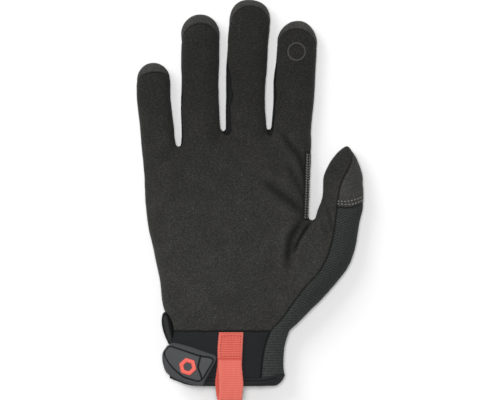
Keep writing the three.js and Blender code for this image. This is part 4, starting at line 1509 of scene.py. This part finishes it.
@dataclass
class ClosureTab:
    """The moulded tab of the wrist closure: a rounded rim, a field sunk a little inside it, and grooves."""

    wardrobe: Wardrobe
    centre: tuple[float, float] = (-0.223, 0.099)
    length: float = 33.0
    width: float = 22.4
    lean: float = 17.0
    inside: float = 2.3
    thickness: float = 2.2
    edge_thickness: float = 0.55
    groove: float = 0.9
    groove_width: float = 0.42
    spacing: float = 0.32
    outline: Pairs = (
        (-0.499, 0.289), (-0.426, 0.423), (-0.25, 0.473), (0.012, 0.481), (0.267, 0.468), (0.407, 0.456),
        (0.448, 0.405), (0.452, 0.29), (0.414, -0.002), (0.373, -0.281), (0.355, -0.438), (0.266, -0.495),
        (0.117, -0.507), (-0.034, -0.5), (-0.188, -0.488), (-0.382, -0.398), (-0.464, -0.25), (-0.521, -0.09),
        (-0.545, 0.082),
    )
    field_edge: Pairs = (
        (-0.468, 0.285), (-0.44, 0.315), (-0.283, 0.322), (0.161, 0.316), (0.329, 0.351), (0.397, 0.324),
        (0.401, 0.25), (0.349, -0.069), (0.322, -0.23), (0.285, -0.33), (0.243, -0.37), (0.099, -0.38),
        (-0.038, -0.375), (-0.1, -0.345), (-0.229, -0.265), (-0.35, -0.165), (-0.45, -0.04), (-0.505, 0.06),
        (-0.512, 0.12),
    )
    divider: Pairs = (
        (0.152, 0.33), (0.158, 0.141), (0.17, -0.002), (0.244, -0.151), (0.305, -0.292)
    )
    emblem_at: tuple[float, float] = (-0.02, -0.067)
    # Rows of the emblem's section: distance from its middle, and height above the field.
    emblem: Pairs = (
        (5.6, -0.3), (5.6, 0.35), (5.3, 0.62), (4.9, 0.7), (3.5, 0.7), (3.15, 0.62), (2.85, 0.35),
        (2.85, -0.3),
    )

    def line(self, pairs: Sequence[tuple[float, float]], closed: bool) -> np.ndarray:
        """Draws a smooth line in plan through shares along and across the tab."""
        return rounded_line(self.plan(*pairs), 0.5, closed)

    def plan(self, *pairs: tuple[float, float]) -> np.ndarray:
        """Turns shares along and across the tab into places in plan.

        Args:
            *pairs: Shares of its length and width from its middle.

        Returns:
            The places.
        """
        turn = math.radians(self.lean)
        rows = np.array(pairs) * [self.length, self.width]
        ahead = np.array([math.cos(turn), -math.sin(turn)])
        side = np.array([math.sin(turn), math.cos(turn)])
        return on_palm(self.centre) + rows[:, :1] * ahead + rows[:, 1:] * side

    def relief(self, plan: np.ndarray) -> tuple[np.ndarray, np.ndarray]:
        """Works out the tab's upper face.

        Args:
            plan: Places in plan.

        Returns:
            The height of the face above the tab's underside, and how dark it is from 0 to 1: painted shade in
            a groove, a little darker on the rim.
        """
        rim = outline_distance(plan, self.line(self.outline, True))
        edge = outline_distance(plan, self.line(self.field_edge, True))
        across, _ = polyline_distance(plan, self.line(self.divider, False))
        channel = np.maximum(*(np.exp(-((far / self.groove_width) ** 2)) for far in (edge, across)))
        shoulder = np.sqrt(1 - (1 - np.clip(rim / 1.3, 0, 1)) ** 2)
        height = self.edge_thickness + (self.thickness - self.edge_thickness) * shoulder
        height += 0.25 * step_between(0.5, 5.0, edge) - 0.35 * step_between(-0.2, 0.5, edge)
        height += 0.18 * np.exp(-(((rim - 1.1) / 0.35) ** 2))
        # Painted shade in the grooves, and the rim a little darker than the field.
        dark = np.maximum(np.minimum(1.5 * channel, 1), 0.2 * (1 - step_between(-0.3, 0.3, edge)))
        return height - self.groove * channel, dark

    def face_height(self, plan: np.ndarray) -> np.ndarray:
        """Gives the height of the tab's upper face over places in plan."""
        return PALM.roof(plan, self.inside) + self.relief(plan)[0]

    def build(self) -> None:
        """Fills the outline with triangles, raises the face and closes it below."""
        rim = rounded_line(self.plan(*self.outline), self.spacing, True)
        low, high = rim.min(axis=0), rim.max(axis=0)
        steps = (np.arange(low[k], high[k], self.spacing) for k in (0, 1))
        grid = np.stack(np.meshgrid(*steps), axis=2).reshape(-1, 2)
        grid += 0.25 * self.spacing * np.array([0, 1]) * (np.round(grid[:, :1] / self.spacing) % 2)
        inner = grid[outline_distance(grid, rim) > 0.6 * self.spacing]
        flat = np.vstack([rim, inner])
        loop = [(i, (i + 1) % len(rim)) for i in range(len(rim))]
        flat = [Vector(p) for p in flat.tolist()]
        spots, _, triangles, origin, _, _ = delaunay_2d_cdt(flat, loop, [], 1, 1e-5)
        plan = np.array([tuple(v) for v in spots])
        ring = [next(i for i, sources in enumerate(origin) if k in sources) for k in range(len(rim))]
        height, channel = self.relief(plan)
        under = np.maximum(PALM.roof(plan, self.inside), PALM.height / 2 + 1)
        face = np.column_stack([plan, np.maximum(PALM.roof(plan, self.inside + 0.6) - 0.6, under) + height])
        back = np.column_stack([plan, under])
        count = len(plan)
        faces = [tuple(t) for t in triangles] + [tuple(i + count for i in t)[::-1] for t in triangles]
        faces += [(b, a, a + count, b + count) for a, b in zip(ring, ring[1:] + ring[:1])]
        tab = face_outwards(mesh_object("closure_tab_moulded", np.vstack([face, back]), faces))
        mark(tab, "groove_depth", np.concatenate([channel, np.zeros(count)]))
        self.wardrobe.dress(tab, TAB_RUBBER, Slot.MOULDED_RUBBER, "closure_tab")
        self.build_emblem()

    def build_emblem(self) -> None:
        """Raises a plain six-sided ring on the tab's field."""
        turn = circle(96)
        sector = np.mod(turn, math.pi / 3) - math.pi / 6
        # The six corners are rounded by easing the sharp outline towards a circle.
        shape = np.minimum(math.cos(math.pi / 6) / np.cos(sector), 0.975)
        outwards = ahead_of(turn - math.radians(self.lean)) * shape[:, None]
        rings = []
        for radius, lift in self.emblem:
            plan = self.plan(self.emblem_at)[0] + outwards * radius
            rings.append(np.column_stack([plan, self.face_height(plan) + lift]))
        ring = swept_object("tab_emblem_ring", rings, True)
        self.wardrobe.dress(ring, RED_RUBBER, Slot.RED_RUBBER, "tab_emblem")


@dataclass
class ClosureStrap:
    """The strap that comes round the side of the wrist and ends under the tab."""

    wardrobe: Wardrobe
    middle: float = 17.6
    width: float = 16.0
    inside: float = 0.6
    thickness: float = 1.4
    front_x: float = -24.0
    back_x: float = 8.0

    def build(self) -> None:
        """Sweeps the strap's flat section round the side of the wrist."""
        fine = np.linspace(0.35 * math.pi, 1.7 * math.pi, 900)
        route = PALM.point(np.full(len(fine), self.middle), fine, self.inside)
        keep = route[:, 0] < np.where(fine < math.pi, self.front_x, self.back_x)
        route, fine = route[keep], fine[keep]
        run = running_length(np.linalg.norm(np.diff(route, axis=0), axis=1))
        turn = np.interp(np.arange(0, run[-1], 0.8), run, fine)
        half, thick = self.width / 2, self.thickness
        corners = (
            (-half, 0.5 * thick), (-half + 0.5, thick), (0, thick), (half - 0.5, thick), (half, 0.5 * thick),
            (half - 0.5, 0), (0, 0), (-half + 0.5, 0),
        )
        section = rounded_line(corners, 0.8, True) + [self.middle, self.inside]
        strap = swept_object("closure_strap_foam", PALM.sweep(turn, section))
        self.wardrobe.dress(strap, HEM_TAPE, Slot.NEOPRENE, "closure_strap")


@dataclass
class PullLoop:
    """The red webbing loop: sewn down double on the wrist, and doubled back on itself below the hem."""

    wardrobe: Wardrobe
    thickness: float = 1.1
    rib: float = 1.1
    rib_height: float = 0.11
    low: float = 27.9
    upper_rise: float = 1.12
    sewn_end: float = 17.8
    # Rows of the webbing's route: distance from the hem, height above its lower run, middle x and width.
    route: Rows = (
        (33.8, 0.0, 2.7, 14.8), (24.0, 0.0, 2.0, 15.2), (15.0, 0.0, 1.7, 15.0), (9.3, 0.0, 1.1, 15.0),
        (3.7, 0.1, 0.4, 15.0), (-1.2, 0.1, 0.7, 15.0), (-5.8, 0.05, 1.2, 14.8), (-7.2, 0.5, 1.6, 14.7),
        (-7.55, 1.1, 1.9, 14.7), (-7.2, 1.75, 2.1, 14.6), (-5.8, 2.2, 2.3, 14.5), (-3.0, 2.45, 2.5, 14.5),
        (2.0, 2.5, 2.7, 15.0), (9.0, 2.4, 2.3, 14.7), (13.5, 1.9, 2.0, 14.6), (16.2, 1.3, 1.9, 14.8),
        (18.5, 1.12, 1.9, 15.0), (24.0, 1.12, 2.0, 15.3), (34.2, 1.12, 2.7, 15.0),
    )

    def build(self, stitches: "StitchRows") -> None:
        """Sweeps the ribbed webbing along its route and sews it down.

        Args:
            stitches: What makes the rows of stitches.
        """
        table = np.array(self.route)
        steps = np.hypot(np.diff(table[:, 0]), np.diff(table[:, 1]))
        keys = running_length(np.sqrt(steps))
        fine = np.linspace(0, keys[-1], 3000)
        dense = np.stack([smooth_curve(keys, table[:, k], fine) for k in range(4)], axis=1)
        run = running_length(np.hypot(np.diff(dense[:, 0]), np.diff(dense[:, 1])))
        at = np.arange(0, run[-1], self.rib / 6)
        y, rise, middle, width = (np.interp(at, run, dense[:, k]) for k in range(4))
        ahead = np.stack([np.gradient(y, at), np.gradient(rise, at)], axis=1)
        ahead /= np.linalg.norm(ahead, axis=1)[:, None]
        share = np.linspace(-1, 1, 15)
        share = np.sign(share) * np.abs(share) ** 0.8
        wave = np.sin(2 * math.pi * at / self.rib)
        selvedge = step_between(0.8, 0.93, np.abs(share))
        wobble = 0.06 * np.sin(2 * math.pi * at / 1.9) + 0.05 * np.sin(2 * math.pi * at / 3.1)
        rib = wave[:, None] * (1 - selvedge) * self.rib_height
        rounding = 0.35 * np.clip((np.abs(share) - 0.93) / 0.07, 0, 1)
        # Painted shade in the valleys between the ribs, strongest where the webbing is sewn down, and a
        # painted shadow line along that part's end.
        shade = (0.5 - 0.5 * wave) * np.where(y > self.sewn_end, 1.0, 0.45)
        shade += 1.3 * np.exp(-(((y - self.sewn_end) / 0.5) ** 2))
        # The lower layer lies in the upper one's shade.
        shade += at < at[np.argmin(y)] - 1.0
        shade = shade[:, None] * (1 - 0.6 * selvedge)
        sides = []
        for face, order in ((1, share), (-1, share[::-1])):
            out = face * (self.thickness / 2 - rounding + rib - 0.06)
            x = middle[:, None] + (width / 2 + wobble)[:, None] * order
            height = self.low + rise[:, None] - ahead[:, :1] * out
            sides.append(np.stack([x, y[:, None] + ahead[:, 1:] * out, height], axis=2))
        loop = swept_object("pull_loop_webbing", np.concatenate(sides, axis=1))
        mark(loop, "rib_valley", np.concatenate([shade, shade], axis=1))
        self.wardrobe.dress(loop, RED_WEBBING, Slot.WEBBING, "pull_loop")
        self.sew(stitches)

    def sew(self, stitches: "StitchRows") -> None:
        """Runs a box of stitches round the sewn part of the loop.

        Args:
            stitches: What makes the rows of stitches.
        """
        top = self.low + self.upper_rise + self.thickness / 2
        corners = np.array([
            (-3.6, 19.2), (-3.8, 24.0), (-3.1, 31.6), (2.5, 32.0), (8.7, 31.7), (8.1, 24.0), (8.2, 19.3),
            (2.2, 19.5),
        ])
        rows = []
        for side in ([0, 1, 2], [2, 3, 4], [4, 5, 6], [6, 7, 0]):
            plan = rounded_line(corners[side], 0.6)
            up = np.tile([0.0, 0.0, 1.0], (len(plan), 1))
            rows.append((np.column_stack([plan, np.full(len(plan), top)]), up))
        stitches.run("loop_stitches", rows, RED_THREAD, Slot.WEBBING, spacing=1.7, length=1.15, width=0.45)


@dataclass
class TouchMark:
    """A plain raised ring printed on the index finger's pad."""

    wardrobe: Wardrobe
    panels: SewnPanels
    centre: tuple[float, float] = (43.1, 207.4)
    radius: float = 5.3
    width: float = 0.85
    rise: float = 0.25
    # Rows of the ring's section: shares of its width outwards, and of its rise.
    section: Pairs = (
        (0.55, -0.35), (0.5, 0.05), (0.3, 0.8), (0.0, 1.0), (-0.3, 0.8), (-0.5, 0.05), (-0.55, -0.35)
    )

    def build(self) -> None:
        """Sweeps a low rounded section round the ring, on the cloth."""
        outwards = ahead_of(circle(120))
        rings = []
        for out, lift in self.section:
            spots, ups = self.panels.drop(self.centre + outwards * (self.radius + out * self.width))
            rings.append(spots + ups * lift * self.rise)
        ring = swept_object("touch_mark_ring", rings, True)
        self.wardrobe.dress(ring, MARK_INK, Slot.SUEDE, "touch_mark")


@dataclass
class StitchRows:
    """Rows of stitches, placed along lines by geometry nodes."""

    wardrobe: Wardrobe

    def tree(self) -> bpy.types.NodeTree:
        """Builds the node tree that sets one stitch after another along a line.

        Returns:
            The tree.
        """
        tree = bpy.data.node_groups.new("stitches_along_line", "GeometryNodeTree")
        sockets = (
            ("Line", "Geometry"), ("Spacing", "Float"), ("Size", "Vector"), ("Slant", "Float"),
            ("Thread", "Material"),
        )
        for name, kind in sockets:
            tree.interface.new_socket(name, in_out="INPUT", socket_type=f"NodeSocket{kind}")
        tree.interface.new_socket("Stitches", in_out="OUTPUT", socket_type="NodeSocketGeometry")
        given = add_node(tree, "NodeGroupInput").outputs
        curve = add_node(tree, "GeometryNodeMeshToCurve", {"Mesh": given["Line"]})
        spaced = {"Curve": curve, "Length": given["Spacing"]}
        even = add_node(tree, "GeometryNodeResampleCurve", spaced, mode="LENGTH")
        ahead = add_node(tree, "GeometryNodeInputTangent")
        up = add_node(tree, "GeometryNodeInputNamedAttribute", {"Name": "up"}, data_type="FLOAT_VECTOR")
        turn = add_node(tree, "FunctionNodeAlignRotationToVector", {"Vector": up}, axis="Z")
        aims = {"Rotation": turn, "Vector": ahead}
        turn = add_node(tree, "FunctionNodeAlignRotationToVector", aims, axis="X", pivot_axis="Z")
        lean = add_node(tree, "FunctionNodeAxisAngleToRotation", {"Axis": (0, 0, 1), "Angle": given["Slant"]})
        turn = add_node(tree, "FunctionNodeRotateRotation", {0: turn, 1: lean}, rotation_space="LOCAL")
        stitch = add_node(tree, "GeometryNodeMeshUVSphere", {"Segments": 8, "Rings": 6, "Radius": 0.5})
        placing = {"Points": even, "Instance": stitch, "Rotation": turn, "Scale": given["Size"]}
        placed = add_node(tree, "GeometryNodeInstanceOnPoints", placing)
        real = add_node(tree, "GeometryNodeRealizeInstances", {"Geometry": placed})
        smooth = add_node(tree, "GeometryNodeSetShadeSmooth", {"Geometry": real})
        dressing = {"Geometry": smooth, "Material": given["Thread"]}
        dressed = add_node(tree, "GeometryNodeSetMaterial", dressing)
        add_node(tree, "NodeGroupOutput", {"Stitches": dressed})
        return tree

    def run(
        self, name: str, rows: Sequence[tuple[np.ndarray, np.ndarray]], thread: Finish, slot: Slot,
        spacing: float, length: float, width: float, slant: float = 0.0
    ) -> None:
        """Sews rows of stitches as one piece.

        Args:
            name: The piece's name.
            rows: Points and normals along each row.
            thread: Finish of the thread.
            slot: Material slot in the record of what is sewn.
            spacing: Distance from one stitch to the next.
            length: Length of a stitch.
            width: Width of a stitch.
            slant: Turn of each stitch off the row, in degrees.
        """
        points = np.concatenate([spots for spots, _ in rows])
        ups = np.concatenate([normals for _, normals in rows])
        edges, start = [], 0
        for spots, _ in rows:
            edges += [(start + i, start + i + 1) for i in range(len(spots) - 1)]
            start += len(spots)
        line = mesh_object(name, points, [], edges)
        attribute = line.data.attributes.new("up", "FLOAT_VECTOR", "POINT")
        attribute.data.foreach_set("vector", ups.astype(np.float32).ravel())
        sewing = line.modifiers.new("stitches", "NODES")
        sewing.node_group = bpy.data.node_groups.get("stitches_along_line") or self.tree()
        given = {
            "Spacing": spacing * MM,
            "Size": (length * MM, width * MM, 0.8 * width * MM),
            "Slant": math.radians(slant),
            "Thread": self.wardrobe.material(thread),
        }
        for item in sewing.node_group.interface.items_tree:
            if item.in_out == "INPUT" and item.name in given:
                sewing[item.identifier] = given[item.name]
        bake_modifiers(line)
        self.wardrobe.dress(line, thread, slot)

    def sew(self, panels: SewnPanels) -> None:
        """Sews the two rows across the thumb's cap and the column of slanting stitches on the web strip.

        Args:
            panels: The sewn panels that the rows lie on.
        """
        thumb_rows = (
            ((69.0, 114.9), (74.1, 114.8), (78.2, 115.5), (84.2, 117.7), (86.6, 118.9)),
            ((68.9, 113.2), (73.5, 112.9), (77.4, 113.0), (82.7, 114.9), (86.2, 116.6)),
        )
        rows = [panels.drop(rounded_line(line, 0.7), 0.12) for line in thumb_rows]
        self.run("thumb_cap_stitches", rows, LIGHT_THREAD, Slot.CAP_SUEDE, 2.05, 1.35, 0.55)
        for side, out, slant in (("left", 0.9, 40.0), ("right", 2.2, -40.0)):
            line = rounded_line(WEB_LINE + [out - WEB_WIDTH + 0.2, 0], 0.8)
            rows = [panels.drop(line[2:-2], 0.2)]
            self.run(f"web_stitches_{side}", rows, DARK_THREAD, Slot.KNIT, 1.6, 1.7, 0.6, slant)


@dataclass
class Studio:
    """A plain pale floor, soft light from all round, and a camera straight above."""

    distance: float = 3.0
    photo_width: float = 310.7
    aim: tuple[float, float] = (-0.77, -0.3)
    floor_edge: float = 4.0
    floor_drop: float = 0.0002
    # Rows of the lamps: name, place in metres, side in metres, and power in watts.
    lamps: tuple[tuple, ...] = (
        ("overhead", (-0.1, 0.15, 3.6), 0.7, 84.0),
        ("key", (-1.0, 0.9, 1.4), 1.0, 13.0),
    )
    air: float = 0.26

    def build(self) -> None:
        """Builds the floor, the lights and the camera."""
        scene = bpy.context.scene
        self.floor()
        for name, place, size, power in self.lamps:
            lamp = bpy.data.lights.new(name, "AREA")
            lamp.size = size
            lamp.energy = power
            holder = self.put(name, lamp, place)
            holder.rotation_euler = Vector(place).to_track_quat("Z", "Y").to_euler()
        scene.world = bpy.data.worlds.new("studio_air")
        scene.world.use_nodes = True
        sky = scene.world.node_tree.nodes["Background"].inputs
        sky["Color"].default_value = (1, 1, 1, 1)
        sky["Strength"].default_value = self.air
        scene.view_settings.view_transform = "Standard"
        camera = bpy.data.cameras.new("photo_camera")
        camera.sensor_width = 36
        camera.lens = camera.sensor_width * self.distance / (self.photo_width * MM)
        camera.clip_end = 20
        scene.camera = self.put("photo_camera", camera, (self.aim[0] * MM, self.aim[1] * MM, self.distance))

    def put(self, name: str, data: bpy.types.ID, place: tuple[float, float, float]) -> bpy.types.Object:
        """Puts a floor, a lamp or a camera at its place in the scene, and gives it back.

        Args:
            name: Its name.
            data: Its mesh, light or camera.
            place: Its place in metres.

        Returns:
            The new object.
        """
        item = bpy.data.objects.new(name, data)
        item.location = place
        bpy.context.scene.collection.objects.link(item)
        return item

    def floor(self) -> None:
        """Lays a sheet of pale paper with a faint fibre."""
        mesh = bpy.data.meshes.new("pale_floor")
        edge = self.floor_edge
        corners = [(-edge, -edge, 0), (edge, -edge, 0), (edge, edge, 0), (-edge, edge, 0)]
        mesh.from_pydata(corners, [], [(0, 1, 2, 3)])
        paper = bpy.data.materials.new("pale_paper")
        paper.use_nodes = True
        tree = paper.node_tree
        place = add_node(tree, "TexCoord").outputs["Object"]
        fibre = add_node(tree, "TexNoise", {"Vector": place, "Scale": 60.0})
        tone = add_node(tree, "MapRange", {"Value": fibre, 3: 0.93, 4: 0.95})
        shader = tree.nodes["Principled BSDF"]
        tree.links.new(tone.outputs[0], shader.inputs["Base Color"])
        shader.inputs["Roughness"].default_value = 0.95
        shader.inputs["Specular IOR Level"].default_value = 0.1
        mesh.materials.append(paper)
        floor = self.put("pale_floor", mesh, (0, 0, -self.floor_drop))


def main() -> None:
    """Builds the glove and its studio, in order."""
    logging.basicConfig(level=logging.INFO, format="%(name)s: %(message)s")
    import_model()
    wardrobe = Wardrobe()
    skin = HandSkin()
    skin.build()
    LOG.info("hand skin: %d points", len(skin.points))
    panels = SewnPanels(skin, wardrobe)
    panels.build()
    stitches = StitchRows(wardrobe)
    CuffHem(wardrobe).build()
    SlitBinding(wardrobe).build()
    ClosureStrap(wardrobe).build()
    ClosureTab(wardrobe).build()
    PullLoop(wardrobe).build(stitches)
    TouchMark(wardrobe, panels).build()
    stitches.sew(panels)
    Studio().build()


if __name__ == "__main__":
    main()
